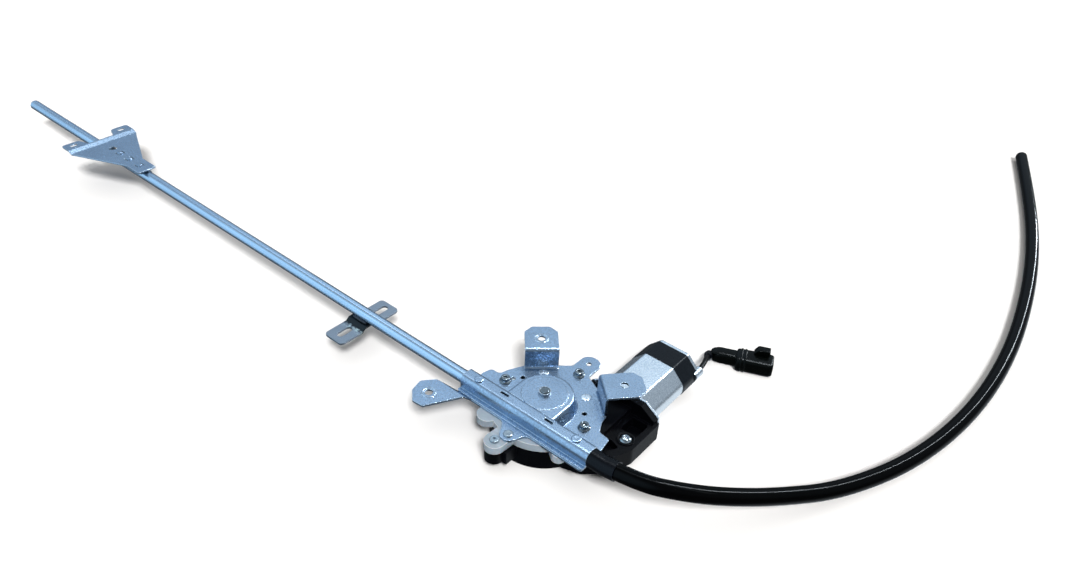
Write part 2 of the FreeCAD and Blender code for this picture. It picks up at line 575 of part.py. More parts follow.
def toothed_disc(teeth, tip_r, root_r, tip_half, root_half, low, high, first):
    """A disc with straight-sided teeth, the first centred at the angle first (degrees)."""
    disc = post(0, 0, low, high, root_r)
    cogs = []
    for i in range(teeth):
        loop = polygon([(root_r - 0.6, -root_half, low), (tip_r, -tip_half, low),
                        (tip_r, tip_half, low), (root_r - 0.6, root_half, low)])
        cog = Part.Face(loop).extrude(V(0, 0, high - low))
        cog.rotate(V(0, 0, 0), Z, first + 360.0 * i / teeth)
        cogs.append(cog)
    disc = disc.multiFuse(cogs).removeSplitter()
    disc.translate(V(0, GEAR_Y, 0))
    return disc


def six_holes(radius, hole_r, low, high):
    """Cutters for six holes on a circle about the gear's axis."""
    places = [on_circle(radius, 60 * i) for i in range(6)]
    return [post(dx, GEAR_Y + dy, low, high, hole_r) for dx, dy in places]


def drive_gear():
    gear = toothed_disc(GEAR_TEETH, GEAR_TIP_R, GEAR_ROOT_R, 0.42, 0.72, -GEAR_HALF, GEAR_HALF, -90)
    return cut(gear, [post(0, GEAR_Y, -9, 9, SHAFT_R)] + six_holes(14, 3.0, -9, 9))


def gear_clip():
    clip = ring(0, GEAR_Y, GEAR_HALF, GEAR_HALF + 0.8, 6.8, SHAFT_R)
    return clip.cut(box(-1.2, 1.2, GEAR_Y, GEAR_Y + 8, GEAR_HALF - 1, GEAR_HALF + 2))


def worm_wheel():
    wheel = toothed_disc(WHEEL_TEETH, WHEEL_TIP_R, WHEEL_TIP_R - 1.6, 0.55, 1.0,
                         WHEEL_LOW, WHEEL_TOP, 0)
    groove = ring(0, GEAR_Y, -15, WHEEL_TOP + 1, 32.0, 20.0)
    return cut(wheel, [post(0, GEAR_Y, -40, 0, WHEEL_BORE_R), groove])


def damper():
    """The rubber cushion between the worm wheel and the shaft's hub."""
    pad = ring(0, GEAR_Y, WHEEL_LOW + 1, WHEEL_TOP - 2, WHEEL_BORE_R, HUB_R)
    return cut(pad, six_holes(12.5, 1.6, -40, 0))


# ---- motor --------------------------------------------------------------------------
def can_section(grow, start, end):
    """The can's eight-sided section, grown by an even margin, from y = start to y = end."""
    lean = grow * math.tan(math.pi / 8)
    half, side, top, flat = CAN_HALF + grow, CAN_SIDE + lean, CAN_TOP + grow, CAN_FLAT + lean
    crease = max(CAN_CREASE + grow, 0.5)
    quarter = [(half, side, CAN_ROUND + grow), (flat, top, crease)]
    mirrored = [(-x, z, r) for x, z, r in reversed(quarter)]
    upper = quarter + mirrored
    face = outline(upper + [(x, -z, r) for x, z, r in reversed(upper)])
    face.rotate(V(0, 0, 0), X, 90)
    face.translate(V(MOTOR_X, start, MOTOR_Z))
    return face.extrude(V(0, end - start, 0))


def motor_can():
    shell = can_section(0, CAN_START, CAP_START)
    flange = flange_profile(CASE_END, CAN_START, FLANGE_GROW)
    screws = [along_y(CASE_END - 1, CAN_START + 1, FLANGE_SCREW_R, MOTOR_X + side * FLANGE_SCREW_DX)
              for side in (-1, 1)]
    hollow = can_section(-CAN_T, CASE_END - 1, CAP_START + 1)
    return cut(shell.fuse(flange).removeSplitter(), [hollow] + screws)


def flange_screws():
    screws = []
    for side in (-1, 1):
        x = MOTOR_X + side * FLANGE_SCREW_DX
        screw = fuse([along_y(75, CAN_START + 0.01, FLANGE_SCREW_R, x),
                      along_y(CAN_START, CAN_START + 2.6, FLANGE_HEAD_R, x)])
        screws.append(screw.cut(along_y(CAN_START + 1.4, CAN_START + 4, FLANGE_SCREW_R, x)))
    return Part.makeCompound(screws)


def can_band():
    return can_section(BAND_T, BAND_START, CAP_START).cut(can_section(0, BAND_START - 1, CAP_START + 1))


def end_cap():
    cap = can_section(0, CAP_START, CAP_END)
    rim = [edge for edge in cap.Edges if edge.BoundBox.YMin > CAP_END - 1e-3]
    return cap.makeFillet(1.6, rim).cut(along_y(CAP_START - 1, CAP_START + REAR_BEARING_T, REAR_BEARING_R))


def lead_boss():
    """The grommet that carries the lead out beside the end cap."""
    x, exit_y = LEAD_ROUTE[0][:2]
    boss = along_y(BOSS_START, exit_y, BOSS_R, x, BOSS_Z)
    rim = [edge for edge in boss.Edges if edge.BoundBox.YMin > exit_y - 1e-3]
    boss = boss.makeFillet(0.8, rim)
    filler = box(x - 3, x, CAP_START, exit_y, BOSS_Z - 3, BOSS_Z + 3)
    body = boss.fuse(filler).cut(can_section(BAND_T, BOSS_START - 1, CAP_START))
    return body.cut(can_section(0, CAP_START - 1, CAP_END)).removeSplitter()


def magnets():
    tube = along_y(90, 128, 21.4).cut(along_y(89, 129, CORE_R + 1))
    arcs = []
    for side in (-1, 1):
        low, high = sorted((MOTOR_X + side * 9, MOTOR_X + side * 30))
        arcs.append(tube.common(box(low, high, 89, 129, MOTOR_Z - 12.5, MOTOR_Z + 12.5)))
    return Part.makeCompound(arcs)


def armature_shaft():
    return along_y(ARBOR_START, CAP_START + REAR_BEARING_T - 0.5, ARBOR_R)


def worm():
    """The worm, with its thread as a row of ridges."""
    body = along_y(GEAR_Y - WORM_HALF, GEAR_Y + WORM_HALF, WORM_ROOT_R)
    ridges = []
    for i in range(WORM_RIDGES):
        middle = GEAR_Y + (i - WORM_RIDGES // 2) * WORM_PITCH
        low = Part.makeCone(WORM_ROOT_R - 0.1, WORM_TIP_R, 0.7, V(MOTOR_X, middle - 1.0, MOTOR_Z), Y)
        top = Part.makeCone(WORM_TIP_R, WORM_ROOT_R - 0.1, 0.7, V(MOTOR_X, middle + 0.3, MOTOR_Z), Y)
        ridges += [low, top, along_y(middle - 0.31, middle + 0.31, WORM_TIP_R)]
    body = body.multiFuse(ridges).removeSplitter()
    return body.cut(along_y(0, 60, ARBOR_R))


def spokes(count, half, start, end, inner, outer):
    """Evenly turned cutters about the motor's axis."""
    tools = []
    for i in range(count):
        tool = box(-half, half, start, end, inner, outer)
        tool.rotate(V(0, 0, 0), Y, 360.0 * i / count)
        tool.translate(V(MOTOR_X, 0, MOTOR_Z))
        tools.append(tool)
    return tools


def armature_core():
    core = along_y(CORE_START, CORE_END, CORE_R)
    slots = spokes(CORE_SLOTS, 1.0, CORE_START - 1, CORE_END + 1, 11.5, CORE_R + 1)
    return cut(core, slots + [along_y(CORE_START - 1, CORE_END + 1, ARBOR_R)])


def windings():
    """The copper coil heads at each end of the core."""
    heads = []
    for start, end in ((CORE_START - 5.5, CORE_START), (CORE_END, CORE_END + 5)):
        heads.append(along_y(start, end, 13.5).cut(along_y(start - 1, end + 1, ARBOR_R)))
    return Part.makeCompound(heads)


def commutator():
    body = along_y(COMMUTATOR_START, COMMUTATOR_END, COMMUTATOR_R)
    gaps = spokes(CORE_SLOTS, 0.3, COMMUTATOR_START - 1, COMMUTATOR_END + 1, 7.2, COMMUTATOR_R + 1)
    return cut(body, gaps + [along_y(COMMUTATOR_START - 1, COMMUTATOR_END + 1, ARBOR_R)])


def brush_holder():
    plate = can_section(-CAN_T - 0.3, 147, 149)
    housings = [box(MOTOR_X + side * 15.25 - 5.75, MOTOR_X + side * 15.25 + 5.75, 135, 147,
                    MOTOR_Z - 5, MOTOR_Z + 5) for side in (-1, 1)]
    channel = box(MOTOR_X - 22, MOTOR_X + 22, BRUSH_START, BRUSH_END, MOTOR_Z - BRUSH_HALF,
                  MOTOR_Z + BRUSH_HALF)
    return cut(fuse([plate] + housings), [channel, along_y(130, 150, COMMUTATOR_R + 1)])


def brushes():
    reach = COMMUTATOR_R + 0.1
    blocks = []
    for side in (-1, 1):
        low, high = sorted((MOTOR_X + side * reach, MOTOR_X + side * 16))
        blocks.append(box(low, high, BRUSH_START, BRUSH_END, MOTOR_Z - BRUSH_HALF, MOTOR_Z + BRUSH_HALF))
    return Part.makeCompound(blocks)


def brush_springs():
    return Part.makeCompound([
        cylinder(V(start, 140, MOTOR_Z), X, 2.2, 4.5) for start in (MOTOR_X - 20.5, MOTOR_X + 16)])


def bearing(start, end, outer):
    return along_y(start, end, outer).cut(along_y(start - 1, end + 1, ARBOR_R + BUSH_GAP))


def motor_bearings():
    return Part.makeCompound([bearing(start, end, BEARING_R) for start, end in BEARINGS])


def rear_bearing():
    return bearing(CAP_START, CAP_START + REAR_BEARING_T, REAR_BEARING_R)


# ---- lead and connector -------------------------------------------------------------
def motor_lead():
    return sweep(route_edges(LEAD_ROUTE, "lead"), LEAD_R)


def turned(shape):
    """Puts a connector piece, made along +X from its rear, in its place."""
    shape.rotate(V(0, 0, 0), Z, PLUG_TURN)
    shape.translate(PLUG_REAR)
    return shape


def rounded_block(x0, x1, y0, y1, z0, z1, radius):
    """A block whose edges along X are rounded."""
    body = box(x0, x1, y0, y1, z0, z1)
    long_edges = [edge for edge in body.Edges if abs(edge.tangentAt(edge.FirstParameter).x) > 0.99]
    return body.makeFillet(radius, long_edges)


def plug_block():
    return rounded_block(0, 27, -6.5, 6.5, -6.4, 6.0, 2.0)


def connector_plug():
    return turned(plug_block())


def connector_boot():
    """The soft rear sleeve where the lead goes into the connector."""
    end = V(*LEAD_ROUTE[-1])
    heading = end - V(*LEAD_ROUTE[-2])
    heading.normalize()
    cone = Part.makeCone(3.4, 5.0, 11, end - heading * 3, heading)
    above_floor = box(30, 90, 180, 230, FLOOR + 0.1, 0)
    return cut(cone, [cylinder(end - heading * 4, heading, LEAD_R, 4), connector_plug()]).common(above_floor)


def connector_shroud():
    body = rounded_block(23, 57, -12.5, 8.6, -6.4, 8.4, 2.6)
    mouth = box(46, 58, -10.1, 6.2, -4.4, 5.6)
    return turned(cut(body, [mouth, plug_block()]))


def connector_latch():
    side = polygon([(35, 1, 8.4), (52, 1, 8.4), (52, 1, 14.2), (47, 1, 14.2)])
    return turned(Part.Face(side).extrude(V(0, 7.6, 0)))


def connector_pins():
    pins = [box(46, 50, y - 1.4, y + 1.4, 0.2, 1.0) for y in (-5.0, 1.1)]
    return Part.makeCompound([turned(pin) for pin in pins])


# ---- hose and rack ------------------------------------------------------------------
def hose():
    edges = route_edges(HOSE_ROUTE, "hose")
    tube = sweep(edges, HOSE_R).cut(sweep(edges, HOSE_BORE_R))
    length = sum(edge.Length for edge in edges)
    section = math.pi * (HOSE_R ** 2 - HOSE_BORE_R ** 2)
    print("hose volume over section times length", round(tube.Volume / (section * length), 4))
    return tube


def hose_sleeve():
    """The stepped rubber sleeve that joins the hose to the tube's end."""
    heading = V(*HOSE_ROUTE[1]) - V(*HOSE_ROUTE[0])
    start, end = CLAMP_END + 0.3, V(TUBE_END, 0, 0)
    body = fuse([cylinder(V(start, 0, 0), X, SLEEVE_R, TUBE_END - start),
                 Part.makeSphere(SLEEVE_R, end), cylinder(end, heading, SLEEVE_R, 11)])
    return cut(body, [cylinder(V(start - 1, 0, 0), X, TUBE_R, TUBE_END - start + 1),
                      cylinder(end, heading, HOSE_R, 30), Part.makeSphere(HOSE_R, end)])


def rack_tail():
    """The end of the rack that is stored in the hose."""
    return sweep(route_edges(HOSE_ROUTE, "rack tail")[:RACK_TAIL_EDGES], RACK_CORE_R)


def flex_rack():
    """The rack in the tube: a plain core, with wire turns only where the gear meets it."""
    core = cylinder(V(RACK_START, 0, 0), X, RACK_CORE_R, TUBE_END - RACK_START - 0.2)
    turns = [cylinder(V((i + 0.5) * RACK_PITCH - RACK_WIRE_WIDTH / 2, 0, 0), X, RACK_WIRE_R,
                      RACK_WIRE_WIDTH) for i in range(-5, 5)]
    return fuse([core] + turns)


# ---- slider -------------------------------------------------------------------------
def lift_bracket():
    plate = slab([
        (BAND_X, -BRACKET_HALF, 2), (-586, -NECK_HALF, 8), (NECK_X, -NECK_HALF, 1.5),
        (NECK_X, NECK_HALF, 1.5), (-588, NECK_HALF, 8), (BAND_X, BRACKET_HALF, 2),
    ], BRACKET_LOW, BRACKET_TOP)
    ear_low, ear_top = BRACKET_LOW + EAR_LIFT, BRACKET_TOP + EAR_LIFT
    joggle = [(2.5, BRACKET_LOW), (2.5, BRACKET_TOP), (0.5, BRACKET_TOP), (-4.5, ear_top),
              (-6.5, ear_top), (-6.5, ear_low), (-4.3, ear_low), (0.7, BRACKET_LOW)]
    step = Part.Face(polygon([(BAND_X + dx, -BRACKET_HALF, z) for dx, z in joggle]))
    band = step.extrude(V(0, 2 * BRACKET_HALF, 0))
    sides = slab([(BAND_X - 8, -BRACKET_HALF, 1), (BAND_X + 1, -BRACKET_HALF, 0), (BAND_X + 4, -38, 0),
                  (BAND_X + 4, 38, 0), (BAND_X + 1, BRACKET_HALF, 0), (BAND_X - 8, BRACKET_HALF, 1)],
                 0, 20)
    pieces = [plate, band.common(sides)]
    start = BAND_X - 6.0
    for side in (-1, 1):
        pieces.append(slab([
            (start, side * BRACKET_HALF, 0), (start - EAR_LENGTH, side * BRACKET_HALF, 3),
            (start - EAR_LENGTH, side * 20, 5), (start, side * 15, 0)], ear_low, ear_top))
    holes = [slot_y(EAR_SLOT_X, side * EAR_SLOT_Y, EAR_SLOT_R, EAR_SLOT_LENGTH, 0, 20)
             for side in (-1, 1)]
    holes.append(post(SPARE_HOLE_X, 0, 0, 20, SPARE_HOLE_R))
    for x in RIVET_XS:
        holes.append(post(x, 0, 0, 20, RIVET_R))
        holes += [box(x - 4.2, x + 4.2, side * 3.6 - 0.6, side * 3.6 + 0.6, 0, 20) for side in (-1, 1)]
    return cut(fuse(pieces), holes)


def carriage():
    """The bent saddle under the bracket, over the tube's top and motor side."""
    start, end = SADDLE_START, SADDLE_END
    shell = cylinder(V(start, 0, 0), X, SADDLE_R, end - start)
    shell = shell.cut(cylinder(V(start - 1, 0, 0), X, SADDLE_INNER_R, end - start + 2))
    shell = shell.common(box(start, end, -5.5, 9, -3.2, 9))
    shell = shell.cut(box(start - 1, end + 1, -9, 0, -9, 3.0))
    fin_slot = box(FIN_START - 0.01, FIN_END + 0.01, 2, 9, -FIN_HALF, FIN_HALF)
    return cut(shell, [fin_slot] + [post(x, 0, 5, 12, RIVET_R) for x in RIVET_XS])


def bracket_rivets():
    rivets = []
    head_top = BRACKET_TOP + 1.3
    for x in RIVET_XS:
        head = box(x - 3.6, x + 3.6, -2.3, 2.3, BRACKET_TOP, head_top)
        head = head.makeFillet(0.6, top_edges(head, head_top))
        shank = post(x, 0, SADDLE_INNER_R + 0.15, BRACKET_TOP + 0.01, RIVET_R)
        rivets.append(fuse([head, shank]))
    return Part.makeCompound(rivets)


def rack_shoe():
    """The steel shoe inside the tube: it grips the rack and its fin leaves by the slot."""
    barrel = cylinder(V(FIN_START - 3, 0, 0), X, SHOE_R, FIN_END - FIN_START + 6)
    fin = box(FIN_START, FIN_END, 2, SADDLE_R, -FIN_HALF, FIN_HALF)
    socket = cylinder(V(RACK_START, 0, 0), X, RACK_CORE_R, 40)
    return cut(fuse([barrel, fin]), [socket])


# ---- the actuator's pieces, one STEP file each --------------------------------------
PIECES = [
    base_plate, tube_clamp, clamp_rivets, tab_rivet, guide_tube, mid_strap, strap_weld,
    spacer, spacer_screw, gear_case, case_cover, cover_seal, cover_screws, case_bushes, shaft_collar,
    plate_bolts, bolt_washers, pad_screw, motor_can, flange_screws, can_band, end_cap, lead_boss,
    magnets, brush_holder, brushes, brush_springs, motor_bearings, rear_bearing,
    motor_lead, connector_boot, connector_plug, connector_shroud, connector_latch, connector_pins,
    hose, hose_sleeve, rack_tail,
    output_shaft, drive_gear, gear_clip, worm_wheel, damper,
    armature_shaft, worm, armature_core, windings, commutator,
    lift_bracket, carriage, bracket_rivets, rack_shoe, flex_rack,
]

os.makedirs("parts", exist_ok=True)
for piece in PIECES:
    shape = piece()
    shape.translate(-ORIGIN)
    print(piece.__name__, shape.isValid(), len(shape.Solids), round(shape.Volume))
    shape.exportStep(os.path.join("parts", piece.__name__ + ".step"))
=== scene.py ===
import bpy
import json
import math
import random
from mathutils import Matrix, Vector


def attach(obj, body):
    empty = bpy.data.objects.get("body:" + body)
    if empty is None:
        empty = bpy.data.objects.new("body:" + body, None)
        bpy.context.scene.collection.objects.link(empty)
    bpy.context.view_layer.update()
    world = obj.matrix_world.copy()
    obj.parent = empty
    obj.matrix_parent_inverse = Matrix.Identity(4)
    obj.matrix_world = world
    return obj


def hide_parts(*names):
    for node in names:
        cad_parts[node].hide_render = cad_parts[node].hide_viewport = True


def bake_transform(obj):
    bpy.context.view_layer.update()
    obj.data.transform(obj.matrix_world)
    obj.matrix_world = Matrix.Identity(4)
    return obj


# The looks of the flexible-rack actuator.  Lengths are written in millimetres in the drive
# frame: +X along the guide tube, +Y towards the motor, x = 0 at the drive gear's axis and
# y = z = 0 on the tube's axis.  at() gives the same place in the row frame, in metres.

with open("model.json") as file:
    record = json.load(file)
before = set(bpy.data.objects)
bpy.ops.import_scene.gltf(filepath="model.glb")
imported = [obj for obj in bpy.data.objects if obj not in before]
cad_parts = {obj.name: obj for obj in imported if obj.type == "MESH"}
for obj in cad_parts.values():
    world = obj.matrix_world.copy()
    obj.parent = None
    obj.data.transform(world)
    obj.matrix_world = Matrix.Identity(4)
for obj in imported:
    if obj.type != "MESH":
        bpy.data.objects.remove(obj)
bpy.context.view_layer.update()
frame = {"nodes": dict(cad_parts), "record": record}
NODES = frame["nodes"]

MM = 0.001
ORIGIN = (-372.25, 56.75, -36.0)
TAU = 2 * math.pi


def at(x, y, z):
    return Vector(((x - ORIGIN[0]) * MM, (y - ORIGIN[1]) * MM, (z - ORIGIN[2]) * MM))


# ---- camera -------------------------------------------------------------------------
# The camera looks down by PITCH, is turned left by YAW and leans by ROLL.
PITCH, YAW, ROLL = (math.radians(a) for a in (35.97, 38.15, -3.11))
CAMERA_PLACE = Vector((0.70091, -0.46399, 0.55010))
LENS, SENSOR_WIDTH, CLIP_START = 29.667, 36.0, 0.01


def make_camera():
    data = bpy.data.cameras.new("camera")
    data.sensor_width = SENSOR_WIDTH
    data.lens = LENS
    data.clip_start = CLIP_START
    camera = bpy.data.objects.new("camera", data)
    bpy.context.scene.collection.objects.link(camera)
    ahead = Vector((0, math.cos(PITCH), -math.sin(PITCH)))
    right = Vector((1, 0, 0))
    down = ahead.cross(right)
    rows = (
        math.cos(ROLL) * right + math.sin(ROLL) * down,
        math.sin(ROLL) * right - math.cos(ROLL) * down,
        -ahead,
    )
    turn = Matrix.Rotation(YAW, 3, "Z")
    basis = Matrix([turn @ row for row in rows]).transposed()
    camera.matrix_world = Matrix.Translation(CAMERA_PLACE) @ basis.to_4x4()
    bpy.context.scene.camera = camera


make_camera()


# ---- mesh helpers -------------------------------------------------------------------
def new_mesh(name, verts, faces, sharp=40.0):
    """A smooth mesh object whose edges are sharp where they turn by more than sharp degrees."""
    mesh = bpy.data.meshes.new(name)
    mesh.from_pydata([tuple(v) for v in verts], [], faces)
    mesh.validate()
    mesh.polygons.foreach_set("use_smooth", [True] * len(mesh.polygons))
    mesh.set_sharp_from_angle(angle=math.radians(sharp))
    obj = bpy.data.objects.new(name, mesh)
    bpy.context.scene.collection.objects.link(obj)
    return obj


def skin(rings, start_cap=True, end_cap=True):
    """Vertices and faces over a row of equal rings of points."""
    count = len(rings[0])
    verts = [p for ring in rings for p in ring]
    faces = []
    for j in range(len(rings) - 1):
        for i in range(count):
            k = (i + 1) % count
            faces.append((j * count + i, j * count + k, (j + 1) * count + k, (j + 1) * count + i))
    if start_cap:
        faces.append(tuple(reversed(range(count))))
    if end_cap:
        last = (len(rings) - 1) * count
        faces.append(tuple(range(last, last + count)))
    return verts, faces


def join_lists(parts):
    """One list of vertices and faces from several."""
    verts, faces = [], []
    for some_verts, some_faces in parts:
        offset = len(verts)
        verts += some_verts
        faces += [tuple(i + offset for i in face) for face in some_faces]
    return verts, faces


def frames_along(points):
    """A point, its side and its up for each point of a path, with no twist."""
    up = Vector((0, 0, 1))
    result = []
    for i, point in enumerate(points):
        before = points[max(i - 1, 0)]
        after = points[min(i + 1, len(points) - 1)]
        heading = (after - before).normalized()
        side = up.cross(heading).normalized()
        up = heading.cross(side).normalized()
        result.append((point, side, up))
    return result


def ring_at(station, radius, segments):
    """A ring of points, in metres, square to the path at a station from frames_along."""
    point, side, up = station
    return [point + side * (radius * math.cos(TAU * i / segments))
            + up * (radius * math.sin(TAU * i / segments)) for i in range(segments)]


def lathe(profile, place, segments=48, wave=None):
    """Turns (radius, height) points in mm about Z.  wave(i, angle) scales ring i's radius."""
    x, y, z = place
    rings = []
    for i, (radius, height) in enumerate(profile):
        ring = []
        for k in range(segments):
            angle = TAU * k / segments
            r = radius * (wave(i, angle) if wave else 1.0)
            ring.append(at(x + r * math.cos(angle), y + r * math.sin(angle), z + height))
        rings.append(ring)
    return skin(rings)


# ---- cords: the hose and the motor's lead -------------------------------------------
HOSE_ROUTE = [
    (82, 0, 0), (112, 2, 2), (141, 16, 2), (166, 39, -4), (193, 76, -15), (226, 128, -26),
    (258, 204, -29), (275, 297, -29), (275, 401, -29), (260, 513, -29), (235, 625, -29),
    (199, 738, -29), (156, 853, -29),
]
LEAD_ROUTE = [(69.5, 162, -14), (68.5, 171, -14.6), (65.2, 180.5, -17.2), (61.7, 189.5, -22),
              (59.5, 197, -27)]
HOSE_R, HOSE_BORE_R, HOSE_LIP = 7.0, 5.0, 0.5
LEAD_R = 2.25
HOSE_STEPS, LEAD_STEPS = 24, 16         # points along each span of the spline
HOSE_SEGMENTS, LEAD_SEGMENTS, LIP_STEPS = 40, 20, 4


def spline_points(name, route, steps):
    """The line of a NURBS spline that has the route as its control points."""
    curve = bpy.data.curves.new(name, "CURVE")
    curve.dimensions = "3D"
    spline = curve.splines.new("NURBS")
    spline.points.add(len(route) - 1)
    for control, place in zip(spline.points, route):
        control.co = (*at(*place), 1.0)
    spline.order_u = 3
    spline.use_endpoint_u = True
    curve.resolution_u = steps
    holder = bpy.data.objects.new(name, curve)
    mesh = bpy.data.meshes.new_from_object(holder)
    points = [v.co.copy() for v in mesh.vertices]
    bpy.data.objects.remove(holder)
    bpy.data.curves.remove(curve)
    bpy.data.meshes.remove(mesh)
    return points


def make_hose():
    """The hose as a tube with a wall, whose free end has a rounded lip."""
    points = spline_points("hose_line", HOSE_ROUTE, HOSE_STEPS)
    stations = frames_along(points)
    lip = HOSE_LIP * MM
    first, last = stations[0], stations[-1]
    back = (points[-2] - points[-1]).normalized()

    def moved(station, shift):
        return station[0] + shift, station[1], station[2]

    outer, inner = HOSE_R * MM, HOSE_BORE_R * MM
    rings = [ring_at(first, inner, HOSE_SEGMENTS), ring_at(first, outer - lip, HOSE_SEGMENTS)]
    rings += [ring_at(s, outer, HOSE_SEGMENTS) for s in stations[:-1]]
    quarter = [math.pi / 2 * i / LIP_STEPS for i in range(LIP_STEPS + 1)]
    for turn in quarter:
        rings.append(ring_at(moved(last, back * (lip * (1 - math.sin(turn)))),
                             outer - lip * (1 - math.cos(turn)), HOSE_SEGMENTS))
    for turn in quarter:
        rings.append(ring_at(moved(last, back * (lip * (1 - math.cos(turn)))),
                             inner + lip * (1 - math.sin(turn)), HOSE_SEGMENTS))
    rings += [ring_at(s, inner, HOSE_SEGMENTS) for s in reversed(stations[:-1])]
    verts, faces = skin(rings, start_cap=False, end_cap=False)
    obj = new_mesh("hose_skin", verts, faces)
    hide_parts("hose")
    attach(obj, "drive_unit")
    return obj


def make_lead(connector):
    """The motor's lead, whose far end runs into the connector; the connector passed in is not used."""
    points = spline_points("lead_line", LEAD_ROUTE, LEAD_STEPS)
    rings = [ring_at(s, LEAD_R * MM, LEAD_SEGMENTS) for s in frames_along(points)]
    obj = new_mesh("lead_skin", *skin(rings))
    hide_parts("motor_lead")
    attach(obj, "drive_unit")
    return obj


hose_piece = make_hose()


# ---- detail pieces ------------------------------------------------------------------
def place_piece(name, parts, slot, body, replaced=(), sharp=40.0, look=None):
    """Joins the parts into one piece, attaches it to its body, hides the CAD nodes it stands for, and
    lists it to be painted with its slot's material.

    look names the material that it is painted with, where that isn't its slot's own.
    """
    obj = new_mesh(name, *join_lists(parts), sharp=sharp)
    if replaced:
        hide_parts(*replaced)
    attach(obj, body)
    PIECES.append((obj, look or slot))
    return obj


def six_lobes(first, last, depth=0.13):
    """A wave that gives rings first to last the shape of a six-lobe socket."""
    def wave(i, angle):
        return 1.0 + depth * math.cos(6 * angle) if first <= i <= last else 1.0
    return wave


def flanged_screw(place, flange_r, head_r, head_h, socket_r, shank_r, tip):
    """A screw with a domed flange, a rounded head and a six-lobe socket, seated on place."""
    profile = [
        (0.3, tip), (shank_r * 0.8, tip), (shank_r, tip + 0.8), (shank_r, 0.0),
        (flange_r - 0.25, 0.0), (flange_r, 0.2), (flange_r, 0.55), (flange_r - 0.3, 0.85),
        (head_r + 0.55, 1.25), (head_r + 0.1, 1.55), (head_r, 1.9), (head_r, head_h - 0.55),
        (head_r - 0.15, head_h - 0.2), (head_r - 0.5, head_h), (socket_r + 0.25, head_h),
        (socket_r, head_h - 0.2), (socket_r * 0.94, head_h - 1.9), (0.2, head_h - 2.3),
    ]
    socket_rings = (14, 16)
    return lathe(profile, place, segments=FINE_SEGMENTS, wave=six_lobes(*socket_rings))


def round_rivet(place, radius, height, shank_r, tip, dish=0.25):
    """A flat-domed rivet head with a soft rim and a shallow dish in its middle."""
    profile = [(0.2, tip), (shank_r, tip), (shank_r, 0.0), (radius - 0.1, 0.0), (radius, 0.2),
               (radius, height * 0.45), (radius * 0.965, height * 0.72), (radius * 0.89, height * 0.92),
               (radius * 0.76, height), (radius * 0.45, height - dish * 0.4), (0.2, height - dish)]
    return lathe(profile, place, segments=RIVET_SEGMENTS)


def pillow(place, half_x, half_y, height, soft, power, steps=6, segments=40):
    """A pad with a superellipse outline, whose top edge is rounded by soft."""
    x, y, z = place
    rings = [outline_ring(x, y, z, half_x, half_y, power, segments)]
    for k in range(steps + 1):
        turn = math.pi / 2 * k / steps
        inset, level = soft * (1 - math.cos(turn)), height - soft + soft * math.sin(turn)
        rings.append(outline_ring(x, y, z + level, half_x - inset, half_y - inset, power, segments))
    return skin(rings)


def superellipse(half_a, half_b, power, segments):
    """Points of an outline that is an ellipse at power 2 and squarer above it."""
    corners = []
    for i in range(segments):
        c, s = math.cos(TAU * i / segments), math.sin(TAU * i / segments)
        corners.append((half_a * math.copysign(abs(c) ** (2 / power), c),
                        half_b * math.copysign(abs(s) ** (2 / power), s)))
    return corners


def outline_ring(x, y, z, half_x, half_y, power, segments):
    return [at(x + dx, y + dy, z) for dx, dy in superellipse(half_x, half_y, power, segments)]


def make_screws():
    """The plate's bolts, and the pad's screw with the raised rim round it."""
    bolts = [flanged_screw((x, y, PLATE_TOP), flange_r=5.3, head_r=3.9, head_h=4.3, socket_r=2.0,
                           shank_r=2.45, tip=tip)
             for (x, y), tip in zip(PLATE_BOLTS, PLATE_BOLT_TIPS)]
    place_piece("plate_bolt_set", bolts, "zinc_fastener", "drive_unit", ["plate_bolts", "bolt_washers"],
                look="dark_fastener")
    pad = flanged_screw((*PAD_SCREW, PAD_TOP), flange_r=5.0, head_r=3.6, head_h=2.6, socket_r=1.7,
                        shank_r=1.95, tip=-13.9)
    place_piece("pad_screw_head", [pad], "zinc_fastener", "drive_unit", ["pad_screw"])
    rim = [(5.5, -0.1), (7.6, -0.1), (7.6, 0.7), (7.2, 1.1), (6.0, 1.1), (5.6, 0.8), (5.5, -0.1)]
    verts, faces_and_caps = lathe(rim, (*PAD_SCREW, PAD_TOP), segments=64)
    place_piece("pad_rim", [(verts, faces_and_caps[:-2])], "case_black", "drive_unit")


def make_rivets():
    """The clamp's rivets, the one in the plate's tab, and the bracket's staked pads."""
    clamp = [round_rivet((x, y, CLAMP_TOP), tip=-1.2, **RIVET_HEAD) for x, y in CLAMP_RIVETS]
    place_piece("clamp_rivet_heads", clamp, "zinc_sheet", "drive_unit", ["clamp_rivets"])
    tab = round_rivet((*TAB_RIVET, PLATE_TOP), tip=-2.0, **RIVET_HEAD)
    place_piece("tab_rivet_head", [tab], "zinc_fastener", "drive_unit", ["tab_rivet"])
    pads = []
    for x in BRACKET_RIVET_XS:
        place = (x, 0, BRACKET_TOP)
        pads.append(pillow(place, half_x=3.6, half_y=2.3, height=1.3, soft=0.9, power=3.2))
        pads.append(lathe([(0.1, -2.6), (1.45, -2.6), (1.45, 0.05), (0.1, 0.05)], place, segments=24))
    place_piece("bracket_rivet_pads", pads, "zinc_sheet", "slider", ["bracket_rivets"])


